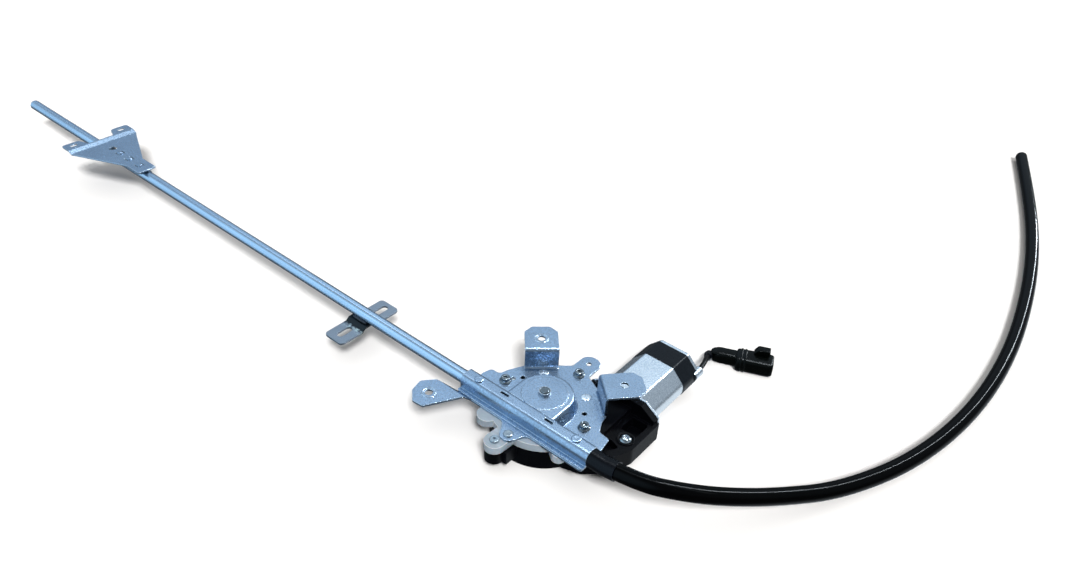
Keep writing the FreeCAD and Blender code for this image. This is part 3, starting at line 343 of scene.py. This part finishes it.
def make_moons():
    """Round clinch marks on the plate, each split by a groove."""
    def half_round(angle):
        low = -math.sin(angle)
        return MOON_FLAT / low if low > MOON_FLAT else 1.0

    profile = [(0.05, 0.0), (4.2, 0.0), (4.2, 0.3), (4.0, 0.6), (3.5, 0.75), (0.05, 0.75)]
    moons = []
    for x, y, turn in MOONS:
        for heading in (turn, turn + math.pi):
            place = (x - MOON_GAP * math.sin(heading), y + MOON_GAP * math.cos(heading),
                     PLATE_TOP - SINK)
            moons.append(lathe(profile, place, segments=FINE_SEGMENTS,
                               wave=lambda _, angle, h=heading: half_round(angle - h)))
    place_piece("clinch_marks", moons, "zinc_fastener", "drive_unit", look="can_steel")


def make_weld():
    """Two rippled beads where the strap meets the tube, fatter in the middle."""
    rng = random.Random(11)
    beads = []
    for side in (-1, 1):
        rings = []
        for k in range(WELD_STEPS + 1):
            along = k / WELD_STEPS
            x = STRAP_X - WELD_HALF + 2 * WELD_HALF * along
            swell = math.sin(math.pi * min(max(along, WELD_END), 1 - WELD_END)) ** 0.35
            ripple = WELD_RIPPLE * abs(math.sin(along * WELD_RIPPLES * math.pi))
            radius = WELD_R * swell * (1 + ripple - WELD_RIPPLE / 2 + rng.uniform(-0.03, 0.03))
            y, z = side * WELD_Y, PLATE_TOP + WELD_RISE
            rings.append([at(x, y + radius * math.cos(TAU * i / WELD_SEGMENTS),
                             max(z + radius * math.sin(TAU * i / WELD_SEGMENTS), PLATE_TOP + SINK))
                          for i in range(WELD_SEGMENTS)])
        beads.append(skin(rings))
    place_piece("strap_weld_beads", beads, "weld", "drive_unit", ["strap_weld"])


def plug_point(along, across, up):
    """A point of the connector, from its own frame, kept above the floor."""
    cos_t, sin_t = math.cos(PLUG_TURN), math.sin(PLUG_TURN)
    return at(PLUG_REAR[0] + along * cos_t - across * sin_t,
              PLUG_REAR[1] + along * sin_t + across * cos_t,
              max(PLUG_REAR[2] + up, FLOOR_Z + PLUG_CLEARANCE))


def plug_loft(stations, centre_y, centre_z, power=4.2, segments=48):
    """Lofts superellipse sections given as (along, half width, half height)."""
    return skin([[plug_point(along, centre_y + dy, centre_z + dz)
                  for dy, dz in superellipse(half_y, half_z, power, segments)]
                 for along, half_y, half_z in stations])


def make_connector():
    """The plug, its ribbed shroud with an open mouth, and the latch's tab."""
    plug = plug_loft(PLUG_STATIONS, centre_y=0.0, centre_z=-0.2)
    shroud = plug_loft(SHROUD_STATIONS, centre_y=-1.95, centre_z=1.0)
    shell = place_piece("connector_shell", [plug, shroud], "connector_black", "drive_unit",
                        ["connector_plug", "connector_shroud"], sharp=60.0)
    low, high = TAB_SIDES
    verts = [plug_point(along, y, z) for y in (high, low) for along, z in TAB_PROFILE]
    count = len(TAB_PROFILE)
    faces = [tuple(range(count)), tuple(reversed(range(count, 2 * count)))]
    faces += [(i, i + count, (i + 1) % count + count, (i + 1) % count) for i in range(count)]
    tab = place_piece("connector_tab", [(verts, faces)], "connector_black", "drive_unit",
                      ["connector_latch"])
    soften(tab, 0.7)
    return [shell, tab]


def soften(obj, radius_mm):
    """Rounds the object's edges with a Bevel modifier."""
    bevel = obj.modifiers.new("soft_edges", "BEVEL")
    bevel.width = radius_mm * MM
    bevel.segments = 3
    bevel.limit_method = "ANGLE"


def make_rack():
    """The wound rack: a core with a wire round it.

    It runs from the bracket to the hose as one fixed mesh; in the actuator its start moves with the
    bracket and it shortens in between.
    """
    rings = []
    steps = int((RACK_END - RACK_START) / RACK_PITCH * RACK_STEPS)
    for k in range(steps + 1):
        x = RACK_START + (RACK_END - RACK_START) * k / steps
        ring = []
        for i in range(RACK_SEGMENTS):
            angle = TAU * i / RACK_SEGMENTS
            phase = 0.5 + 0.5 * math.cos(TAU * x / RACK_PITCH - angle)
            radius = RACK_CORE_R + (RACK_WIRE_R - RACK_CORE_R) * phase ** 1.6
            ring.append(at(x, radius * math.cos(angle), radius * math.sin(angle)))
        rings.append(ring)
    obj = new_mesh("wound_rack", *skin(rings), sharp=70.0)
    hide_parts("flex_rack")
    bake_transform(obj)
    PIECES.append((obj, "gear_steel"))


# ---- sizes and places of the detail pieces ------------------------------------------
PLATE_TOP, CLAMP_TOP, BRACKET_TOP, PAD_TOP, FLOOR_Z = -6.0, 7.3, 9.0, -14.0, -36.0
PLATE_BOLTS, PLATE_BOLT_TIPS = [(-43.0, 25.2), (-0.7, 74.4), (41.9, 26.2)], [-24.0, -24.0, -4.3]
PAD_SCREW, TAB_RIVET = (70.6, 45.5), (1.0, -20.5)
CLAMP_RIVETS = [(-50.3, 0.2), (52.3, 1.2)]
BRACKET_RIVET_XS = [-618.0, -598.0, -577.0]
MOONS = [(-25.3, 55.6, 1.9), (21.5, 55.5, 2.3)]     # x, y and the groove's heading in radians
MOON_GAP, MOON_FLAT = 0.35, 0.06     # half the groove, and the flat side's share of the radius
SINK = 0.02                   # how far a piece is let into the face that it stands on
STRAP_X, WELD_HALF, WELD_Y, WELD_RISE, WELD_R = -197.0, 9.0, 4.75, 0.9, 1.75
WELD_STEPS, WELD_SEGMENTS, WELD_RIPPLES, WELD_RIPPLE, WELD_END = 60, 20, 11, 0.16, 0.02
PLUG_REAR, PLUG_TURN, PLUG_CLEARANCE = (58.5, 206.5, -29.5), math.radians(24.0), 0.05
# The stations are (along, half width, half height) from the connector's rear.
PLUG_STATIONS = [(-1.2, 2.6, 2.6), (-0.6, 4.0, 3.8), (1.2, 5.0, 4.8), (5.0, 6.2, 5.9), (8.0, 6.5, 6.2),
                 (24.0, 6.5, 6.2)]
SHROUD_STATIONS = [
    (22.4, 6.6, 5.6), (22.8, 8.8, 6.4), (23.8, 10.0, 7.1), (25.2, 10.4, 7.3), (26.4, 10.4, 7.3),
    (26.7, 11.0, 7.8), (27.8, 11.1, 7.9), (28.1, 10.4, 7.3), (30.0, 10.4, 7.3), (30.3, 11.0, 7.8),
    (31.4, 11.1, 7.9), (31.7, 10.4, 7.3), (50.0, 10.6, 7.4), (54.0, 10.4, 7.3), (56.0, 9.8, 6.9),
    (56.9, 9.0, 6.3), (56.9, 8.4, 5.7), (56.0, 8.1, 5.4), (46.0, 7.9, 5.2), (46.0, 0.2, 0.2),
]
TAB_PROFILE, TAB_SIDES = [(37.5, 8.0), (40.5, 13.0), (42.0, 13.9), (52.5, 13.9), (52.5, 8.0)], (0.6, 8.4)
RACK_START, RACK_END, RACK_PITCH, RACK_CORE_R, RACK_WIRE_R = -606.0, 82.0, 3.0, 2.0, 3.3
RACK_STEPS, RACK_SEGMENTS = 6, 14        # rings in each turn of the wire, and points in a ring
FINE_SEGMENTS, RIVET_SEGMENTS = 72, 56
RIVET_HEAD = {"radius": 4.2, "height": 1.3, "shank_r": 1.95}
PIECES = [(hose_piece, "hose_black")]    # each new piece with the material that it is painted with

make_screws()
make_rivets()
make_moons()
make_weld()
make_rack()
lead_piece = make_lead(make_connector())
PIECES.append((lead_piece, "lead_sheath"))


# ---- material helpers ---------------------------------------------------------------
MIX_A, MIX_B, MIX_RESULT = 6, 7, 2       # a Mix node's sockets for colours


class Recipe:
    """Builds one material's nodes round its Principled shader."""

    def __init__(self, name, colour, rough, metal=0.0, **sockets):
        self.material = bpy.data.materials.new(name)
        self.material.use_nodes = True
        self.tree = self.material.node_tree
        self.shader = self.tree.nodes["Principled BSDF"]
        self.shader.inputs["Base Color"].default_value = (*colour, 1)
        self.shader.inputs["Roughness"].default_value = rough
        self.shader.inputs["Metallic"].default_value = metal
        for socket, value in sockets.items():
            self.shader.inputs[socket.replace("_", " ")].default_value = value
        self.coords = self.node("ShaderNodeTexCoord").outputs["Object"]

    def node(self, kind, **settings):
        node = self.tree.nodes.new(kind)
        for key, value in settings.items():
            setattr(node, key, value)
        return node

    def link(self, source, target):
        self.tree.links.new(source, target)

    def stretched(self, scale):
        """The row frame's coordinates, scaled along each axis."""
        mapping = self.node("ShaderNodeMapping")
        mapping.inputs["Scale"].default_value = scale
        self.link(self.coords, mapping.inputs["Vector"])
        return mapping.outputs["Vector"]

    def noise(self, scale, detail=3.0, stretch=None, roughness=0.55):
        """Noise in the row frame; scale is in waves per metre."""
        node = self.node("ShaderNodeTexNoise")
        node.inputs["Scale"].default_value = scale
        node.inputs["Detail"].default_value = detail
        node.inputs["Roughness"].default_value = roughness
        vector = self.stretched(stretch) if stretch else self.coords
        self.link(vector, node.inputs["Vector"])
        return node.outputs["Fac"]

    def spread(self, value, low, high, to_low, to_high):
        """Takes the range low to high to the range to_low to to_high."""
        node = self.node("ShaderNodeMapRange")
        for name, number in zip(("From Min", "From Max", "To Min", "To Max"),
                                (low, high, to_low, to_high)):
            node.inputs[name].default_value = number
        self.link(value, node.inputs["Value"])
        return node.outputs["Result"]

    def math(self, operation, a, b):
        node = self.node("ShaderNodeMath", operation=operation)
        for socket, value in zip(node.inputs, (a, b)):
            if isinstance(value, (int, float)):
                socket.default_value = value
            else:
                self.link(value, socket)
        return node.outputs["Value"]

    def mix(self, factor, a, b):
        """Mixes two colours, each a tuple or a socket."""
        node = self.node("ShaderNodeMix", data_type="RGBA")
        for index, value in ((MIX_A, a), (MIX_B, b)):
            if isinstance(value, tuple):
                node.inputs[index].default_value = (*value, 1)
            else:
                self.link(value, node.inputs[index])
        self.link(factor, node.inputs["Factor"])
        return node.outputs[MIX_RESULT]

    def set_colour(self, source):
        self.link(source, self.shader.inputs["Base Color"])

    def set_rough(self, source):
        self.link(source, self.shader.inputs["Roughness"])

    def set_bump(self, height, distance_mm, strength=1.0, round_mm=0.0):
        """Bump in mm on top of edges rounded by round_mm."""
        bump = self.node("ShaderNodeBump")
        bump.inputs["Distance"].default_value = distance_mm * MM
        bump.inputs["Strength"].default_value = strength
        self.link(height, bump.inputs["Height"])
        if round_mm:
            bevel = self.node("ShaderNodeBevel", samples=4)
            bevel.inputs["Radius"].default_value = round_mm * MM
            self.link(bevel.outputs["Normal"], bump.inputs["Normal"])
        self.link(bump.outputs["Normal"], self.shader.inputs["Normal"])

    def near_edge(self, radius_mm, low=0.90, high=0.995):
        """One on an edge or corner of the mesh, and zero away from them."""
        bevel = self.node("ShaderNodeBevel", samples=6)
        bevel.inputs["Radius"].default_value = radius_mm * MM
        dot = self.node("ShaderNodeVectorMath", operation="DOT_PRODUCT")
        self.link(bevel.outputs["Normal"], dot.inputs[0])
        self.link(self.node("ShaderNodeNewGeometry").outputs["Normal"], dot.inputs[1])
        return self.spread(dot.outputs["Value"], low, high, 1.0, 0.0)

    def axis(self, index):
        """One coordinate of the row frame, in metres."""
        node = self.node("ShaderNodeSeparateXYZ")
        self.link(self.coords, node.inputs["Vector"])
        return node.outputs[index]


def shade(colour, factor):
    """A colour made lighter or darker."""
    return tuple(min(1.0, c * factor) for c in colour)


# The colour that sheet metal's edges are painted towards: a painted highlight.
EDGE_HIGHLIGHT = (0.80, 0.88, 0.95)
# The strap's burn: its centre in the drive frame's mm, then distances from it in metres.
BURN_CENTRE, BURN_RAGGED = -1.2, 0.0022
BURN_FADE, CRUST_RISE, CRUST_FADE = (0.0105, 0.0135), (0.0105, 0.0130), (0.0140, 0.0185)
BURN_COLOUR, CRUST_COLOUR = (0.030, 0.034, 0.036), (0.50, 0.62, 0.60)


def sheet_metal(name, colour, rough, grain=1500.0, speckle=0.14, cloud=0.10, edge=0.45, bump=0.012):
    """Plated sheet: fine crystals, soft clouds of tone, faint handling marks and a highlight painted
    along its edges.
    """
    r = Recipe(name, colour, rough, 1.0)
    crystals = r.noise(grain, 2.0, roughness=0.7)
    spangle = r.noise(grain * 0.38, 3.0, stretch=(1.0, 0.7, 1.0), roughness=0.65)
    clouds = r.noise(45.0, 4.0)
    marks = r.noise(150.0, 6.0, stretch=(1.0, 7.0, 3.0), roughness=0.75)
    grains = r.math("ADD", r.math("MULTIPLY", crystals, 0.5), r.math("MULTIPLY", spangle, 0.5))
    fine = r.mix(r.spread(grains, 0.40, 0.60, 0, 1), shade(colour, 1 - speckle),
                 shade(colour, 1 + speckle))
    tone = r.mix(r.spread(clouds, 0.3, 0.75, 0, cloud * 3), fine, shade(colour, 0.62))
    # A highlight painted along the edges, broken up by the spangle.
    if edge:
        edge_highlight = r.math("MULTIPLY", r.near_edge(edge), r.spread(spangle, 0.3, 0.6, 0.5, 1.0))
        tone = r.mix(edge_highlight, tone, EDGE_HIGHLIGHT)
    r.set_colour(tone)
    base = r.spread(grains, 0.35, 0.65, rough + 0.08, rough - 0.08)
    worn = r.spread(marks, 0.58, 0.75, 0.0, 0.14)
    r.set_rough(r.math("ADD", base, worn))
    r.set_bump(grains, bump, round_mm=edge)
    return r.material


def drawn_tube(name, colour, rough):
    """Plated tube with long drawing streaks."""
    r = Recipe(name, colour, rough, 1.0)
    streaks = r.noise(700.0, 3.0, stretch=(0.012, 1.0, 1.0))
    cloud = r.noise(22.0, 4.0, stretch=(0.5, 1.0, 1.0))
    specks = r.noise(1700.0, 2.0)
    tone = r.mix(r.spread(streaks, 0.3, 0.7, 0, 1), shade(colour, 0.90), shade(colour, 1.08))
    r.set_colour(r.mix(r.spread(cloud, 0.35, 0.75, 0, 0.45), tone, shade(colour, 0.78)))
    r.set_rough(r.math("ADD", r.spread(streaks, 0.25, 0.75, rough - 0.05, rough + 0.05),
                       r.spread(specks, 0.45, 0.8, 0.0, 0.16)))
    r.set_bump(specks, 0.0005, strength=0.8, round_mm=0.25)
    return r.material


def moulded(name, colour, rough, grain=1100.0, bump=0.02, edge=0.5, **sockets):
    """Moulded plastic or rubber with a fine spark-eroded texture, faint scuffs and a highlight painted
    along its edges.
    """
    r = Recipe(name, colour, rough, 0.0, **sockets)
    texture = r.noise(grain, 3.0)
    scuffs = r.noise(90.0, 5.0, stretch=(1.0, 4.0, 2.0), roughness=0.7)
    tone = r.mix(r.spread(scuffs, 0.5, 0.8, 0, 0.6), colour, shade(colour, 1.7))
    # A highlight painted along the edges, lighter than the body's colour.
    if edge:
        tone = r.mix(r.near_edge(edge * 0.6), tone, shade(colour, 5.0))
    r.set_colour(tone)
    r.set_rough(r.math("ADD", r.spread(texture, 0.3, 0.7, rough - 0.06, rough + 0.06),
                       r.spread(scuffs, 0.55, 0.8, 0, 0.15)))
    r.set_bump(texture, bump, strength=0.7, round_mm=edge)
    return r.material


def strap_metal():
    """Dull zinc, burnt dark near the tube where the weld ran, with a pale crust at its edge."""
    colour = (0.23, 0.265, 0.31)
    r = Recipe("strap_zinc", colour, 0.46, 1.0)
    crystals = r.noise(1300.0, 3.0, roughness=0.7)
    ragged = r.noise(420.0, 4.0)
    centre = at(0, BURN_CENTRE, 0).y
    away = r.math("ABSOLUTE", r.math("SUBTRACT", r.axis(1), centre), 0.0)
    reach = r.math("ADD", away, r.spread(ragged, 0.3, 0.7, -BURN_RAGGED, BURN_RAGGED))
    burnt = r.spread(reach, *BURN_FADE, 1.0, 0.0)
    crust = r.math("MULTIPLY", r.spread(reach, *CRUST_RISE, 0.0, 1.0),
                   r.spread(reach, *CRUST_FADE, 1.0, 0.0))
    crust = r.math("MULTIPLY", crust, r.spread(ragged, 0.48, 0.60, 0.0, 0.9))
    tone = r.mix(r.spread(crystals, 0.3, 0.7, 0, 1), shade(colour, 0.84), shade(colour, 1.16))
    tone = r.mix(crust, tone, CRUST_COLOUR)
    r.set_colour(r.mix(burnt, tone, BURN_COLOUR))
    r.set_rough(r.math("ADD", r.spread(crystals, 0.3, 0.7, 0.38, 0.54), r.math("MULTIPLY", crust, 0.2)))
    r.set_bump(r.math("ADD", crystals, r.math("MULTIPLY", ragged, 0.8)), 0.03, round_mm=0.5)
    return r.material


MATERIALS = {
    "zinc_sheet": sheet_metal("zinc_sheet_plate", (0.35, 0.45, 0.58), 0.28, grain=1700.0,
                              speckle=0.30, cloud=0.14, edge=0.8, bump=0.018),
    "zinc_tube": drawn_tube("zinc_tube_drawn", (0.48, 0.62, 0.78), 0.21),
    "dull_steel": strap_metal(),
    "weld": sheet_metal("weld_bead_scale", (0.10, 0.10, 0.11), 0.42, grain=900.0, speckle=0.4,
                        cloud=0.3, edge=0.0, bump=0.05),
    "zinc_fastener": sheet_metal("zinc_fastener_plate", (0.46, 0.52, 0.56), 0.22, grain=1900.0,
                                 speckle=0.25, cloud=0.3, edge=0.3, bump=0.02),
    "nylon_white": moulded("nylon_natural", (0.260, 0.320, 0.380), 0.36, grain=800.0, bump=0.01,
                           edge=0.8, Subsurface_Weight=0.15, Subsurface_Scale=0.003),
    "case_black": moulded("case_glass_nylon", (0.0010, 0.0011, 0.0018), 0.40,
                          Specular_IOR_Level=0.06),
    "can_steel": sheet_metal("can_bright_plate", (0.74, 0.80, 0.86), 0.27, grain=1700.0,
                             speckle=0.03, cloud=0.06, edge=0.8, bump=0.002),
    "band_black": moulded("band_satin", (0.004, 0.006, 0.009), 0.30, grain=1500.0, bump=0.006,
                          edge=0.6, Specular_IOR_Level=0.12),
    "connector_black": moulded("connector_satin", (0.0006, 0.0010, 0.0008), 0.22, grain=900.0,
                               bump=0.004, edge=0.7, Specular_IOR_Level=0.11),
    "hose_black": moulded("hose_gloss", (0.0004, 0.0004, 0.0005), 0.12, grain=500.0, bump=0.002,
                          edge=0.0, Specular_IOR_Level=0.07),
    "sleeve_black": moulded("sleeve_rubber", (0.001, 0.0015, 0.003), 0.24, grain=700.0, bump=0.004,
                            edge=0.6, Specular_IOR_Level=0.14),
    "seal_rubber": moulded("seal_rubber_matt", (0.020, 0.020, 0.020), 0.6),
    "lead_sheath": moulded("lead_pvc", (0.002, 0.002, 0.002), 0.34, grain=900.0, bump=0.01,
                           edge=0.0, Specular_IOR_Level=0.12),
    "pin_metal": sheet_metal("pin_tin", (0.72, 0.68, 0.58), 0.26),
    "bronze": sheet_metal("bush_bronze", (0.60, 0.42, 0.22), 0.40),
    "gear_steel": sheet_metal("gear_oiled", (0.46, 0.50, 0.55), 0.30, grain=1500.0, speckle=0.12,
                              cloud=0.2, edge=0.2, bump=0.006),
    "wheel_nylon": moulded("wheel_nylon_cream", (0.70, 0.66, 0.54), 0.42),
    "magnet": sheet_metal("magnet_ferrite", (0.14, 0.14, 0.15), 0.55),
    "copper": sheet_metal("winding_copper", (0.72, 0.36, 0.18), 0.34),
    # The saddle's zinc, darkened to paint in the shade that the bracket casts on it.
    "shade_painted_zinc": sheet_metal("zinc_in_shade", (0.10, 0.125, 0.15), 0.45),
    "dark_fastener": sheet_metal("zinc_fastener_dark", (0.20, 0.23, 0.25), 0.22, grain=1900.0,
                                 speckle=0.25, cloud=0.3, edge=0.3, bump=0.02),
    "carbon": moulded("brush_carbon", (0.04, 0.04, 0.045), 0.5),
    "spring_steel": sheet_metal("spring_bright", (0.55, 0.58, 0.62), 0.28),
}


def paint(obj, look):
    """Gives an object one of the materials, in place of any that it has."""
    obj.data.materials.clear()
    obj.data.materials.append(MATERIALS[look])


# CAD nodes that are painted darker than their slot's own material, by judgement: the saddle's zinc is
# darkened to paint in the shade that the bracket casts on it, and the shaft's end is painted a darker
# steel.
SHADED_NODES = {"carriage": "shade_painted_zinc", "output_shaft": "dark_fastener"}
for part in frame["record"]["subparts"]:
    node = NODES[part["node"]]
    paint(node, SHADED_NODES.get(part["node"], part["material_slot"]))
    node.data.polygons.foreach_set("material_index", [0] * len(node.data.polygons))
for piece, look in PIECES:
    paint(piece, look)


# ---- floor, lights and world --------------------------------------------------------
def make_floor():
    """The pale floor, and a plain backdrop far behind it that only the camera sees."""
    lines = [-FLOOR_HALF + 2 * FLOOR_HALF * i / FLOOR_CELLS for i in range(FLOOR_CELLS + 1)]
    verts = [(x, y, FLOOR_LEVEL) for y in lines for x in lines]
    across = len(lines)
    faces = [(j * across + i, j * across + i + 1, (j + 1) * across + i + 1, (j + 1) * across + i)
             for j in range(FLOOR_CELLS) for i in range(FLOOR_CELLS)]
    floor = new_mesh("floor", verts, faces)
    floor.visible_glossy = False
    r = Recipe("floor_white", (0.90, 0.90, 0.90), 0.8, 0.0, Specular_IOR_Level=0.0)
    floor.data.materials.append(r.material)
    rings = []
    for k in range(BACKDROP_STEPS + 1):
        turn = math.pi / 2 * (k / BACKDROP_STEPS * (1 + BACKDROP_DIP) - BACKDROP_DIP)
        rings.append([Vector((BACKDROP_R * math.cos(turn) * math.cos(TAU * i / BACKDROP_SEGMENTS),
                              BACKDROP_R * math.cos(turn) * math.sin(TAU * i / BACKDROP_SEGMENTS),
                              BACKDROP_R * math.sin(turn))) for i in range(BACKDROP_SEGMENTS)])
    backdrop = new_mesh("backdrop", *skin(rings, start_cap=False))
    pale = Recipe("backdrop_pale", (0, 0, 0), 1.0, 0.0, Specular_IOR_Level=0.0,
                  Emission_Color=(1.0, 1.0, 1.0, 1.0), Emission_Strength=0.94)
    backdrop.data.materials.append(pale.material)
    for name in ("diffuse", "glossy", "transmission", "shadow", "volume_scatter"):
        setattr(backdrop, "visible_" + name, False)


# In metres, with the floor 0.2 mm below the actuator.
FLOOR_HALF, FLOOR_CELLS, FLOOR_LEVEL = 6.0, 8, -0.0002
BACKDROP_R, BACKDROP_STEPS, BACKDROP_SEGMENTS = 7.5, 12, 48
BACKDROP_DIP = 0.06           # how far the dome reaches below the floor, as a share of a right angle


def gloss_light(name, place, target, width, height, power, colour):
    """A rectangle of light that shows only in gloss."""
    data = bpy.data.lights.new(name, "AREA")
    data.shape = "RECTANGLE"
    data.size = width
    data.size_y = height
    data.energy = power
    data.color = colour
    lamp = bpy.data.objects.new(name, data)
    lamp.location = place
    lamp.rotation_euler = (Vector(target) - Vector(place)).to_track_quat("-Z", "Y").to_euler()
    lamp.visible_camera = False
    lamp.visible_diffuse = False
    bpy.context.scene.collection.objects.link(lamp)
    return lamp


def soft_sun(name, direction, angle, strength, colour):
    """Even light over the whole floor, which doesn't show as gloss."""
    data = bpy.data.lights.new(name, "SUN")
    data.angle = angle
    data.energy = strength
    data.color = colour
    lamp = bpy.data.objects.new(name, data)
    lamp.rotation_euler = Vector(direction).to_track_quat("Z", "Y").to_euler()
    lamp.visible_glossy = False
    bpy.context.scene.collection.objects.link(lamp)


def ceiling_strip(name, start, end, power):
    """A narrow strip overhead, from start to end, for a line of gloss on the hose."""
    length = math.dist(start, end)
    middle = [(a + b) / 2 for a, b in zip(start, end)]
    lamp = gloss_light(name, (*middle, CEILING), (*middle, 0), length, STRIP_WIDTH, power, COOL)
    lamp.rotation_euler = (0, 0, math.atan2(end[1] - start[1], end[0] - start[0]))


CEILING, STRIP_WIDTH = 1.9, 0.05
COOL = (0.85, 0.93, 1.0)


def make_world():
    """A dim studio that only gloss shows: a bluish window on the near side, a pale one low behind."""
    world = bpy.data.worlds.new("studio")
    bpy.context.scene.world = world
    world.use_nodes = True
    tree = world.node_tree
    coords = tree.nodes.new("ShaderNodeTexCoord").outputs["Generated"]
    total = None
    for direction, start, full, colour, gain in WORLD_LOBES:
        dot = tree.nodes.new("ShaderNodeVectorMath")
        dot.operation = "DOT_PRODUCT"
        tree.links.new(coords, dot.inputs[0])
        dot.inputs[1].default_value = Vector(direction).normalized()
        ramp = tree.nodes.new("ShaderNodeMapRange")
        ramp.interpolation_type = "SMOOTHSTEP"
        tree.links.new(dot.outputs["Value"], ramp.inputs["Value"])
        ramp.inputs["From Min"].default_value = start
        ramp.inputs["From Max"].default_value = full
        add = tree.nodes.new("ShaderNodeMix")
        add.data_type = "RGBA"
        add.blend_type = "ADD"
        tree.links.new(ramp.outputs["Result"], add.inputs["Factor"])
        if total:
            tree.links.new(total, add.inputs[MIX_A])
        else:
            add.inputs[MIX_A].default_value = (0, 0, 0, 1)
        add.inputs[MIX_B].default_value = (*(gain * c for c in colour), 1)
        total = add.outputs[MIX_RESULT]
    tree.links.new(total, tree.nodes["Background"].inputs["Color"])
    world.cycles_visibility.diffuse = False


WORLD_LOBES = [
    # direction, cosine where it starts, cosine where it is full, colour, gain
    ((0, 0, 1), -1.0, -0.9, (0.80, 0.90, 1.00), 0.14),
    ((0, 0, 1), 0.10, 0.50, (0.72, 0.86, 1.00), 0.24),
    ((-0.45, -0.85, 0.25), 0.55, 0.93, (0.52, 0.78, 1.00), 1.15),
    ((-0.242, 0.664, 0.707), 0.70, 0.97, (0.62, 0.82, 1.00), 0.38),
    ((-0.833, 0.349, 0.43), 0.78, 0.98, (0.48, 0.72, 1.00), 0.30),
    ((0.65, 0.60, 0.40), 0.72, 0.95, (0.70, 0.86, 1.00), 0.12),
    ((0.43, 0.60, -0.675), 0.66, 0.92, (0.86, 0.94, 1.00), 0.85),
]
bpy.context.scene.view_settings.view_transform = "Standard"
make_floor()
make_world()
soft_sun("key_soft", (1.25, -1.0, 1.95), angle=0.24, strength=3.1, colour=(1.0, 0.985, 0.97))
soft_sun("fill_soft", (0.1, 0.15, 1), angle=1.7, strength=1.7, colour=(1.0, 0.985, 0.965))
gloss_light("crown_strip", (0.0, 0.35, CEILING), (0.0, 0.35, 0), width=4.0, height=0.40, power=7.0,
            colour=(0.80, 0.92, 1.0))
ceiling_strip("hose_strip_near", (-0.1, 0.35), (1.0, 1.25), power=42.0)
ceiling_strip("hose_strip_far", (1.0, 1.25), (1.35, 3.6), power=60.0)
gloss_light("far_strip", (1.6, 6.0, 2.1), (0.5, 0.5, 0), width=0.12, height=2.8, power=140.0,
            colour=COOL)

bpy.context.view_layer.update()
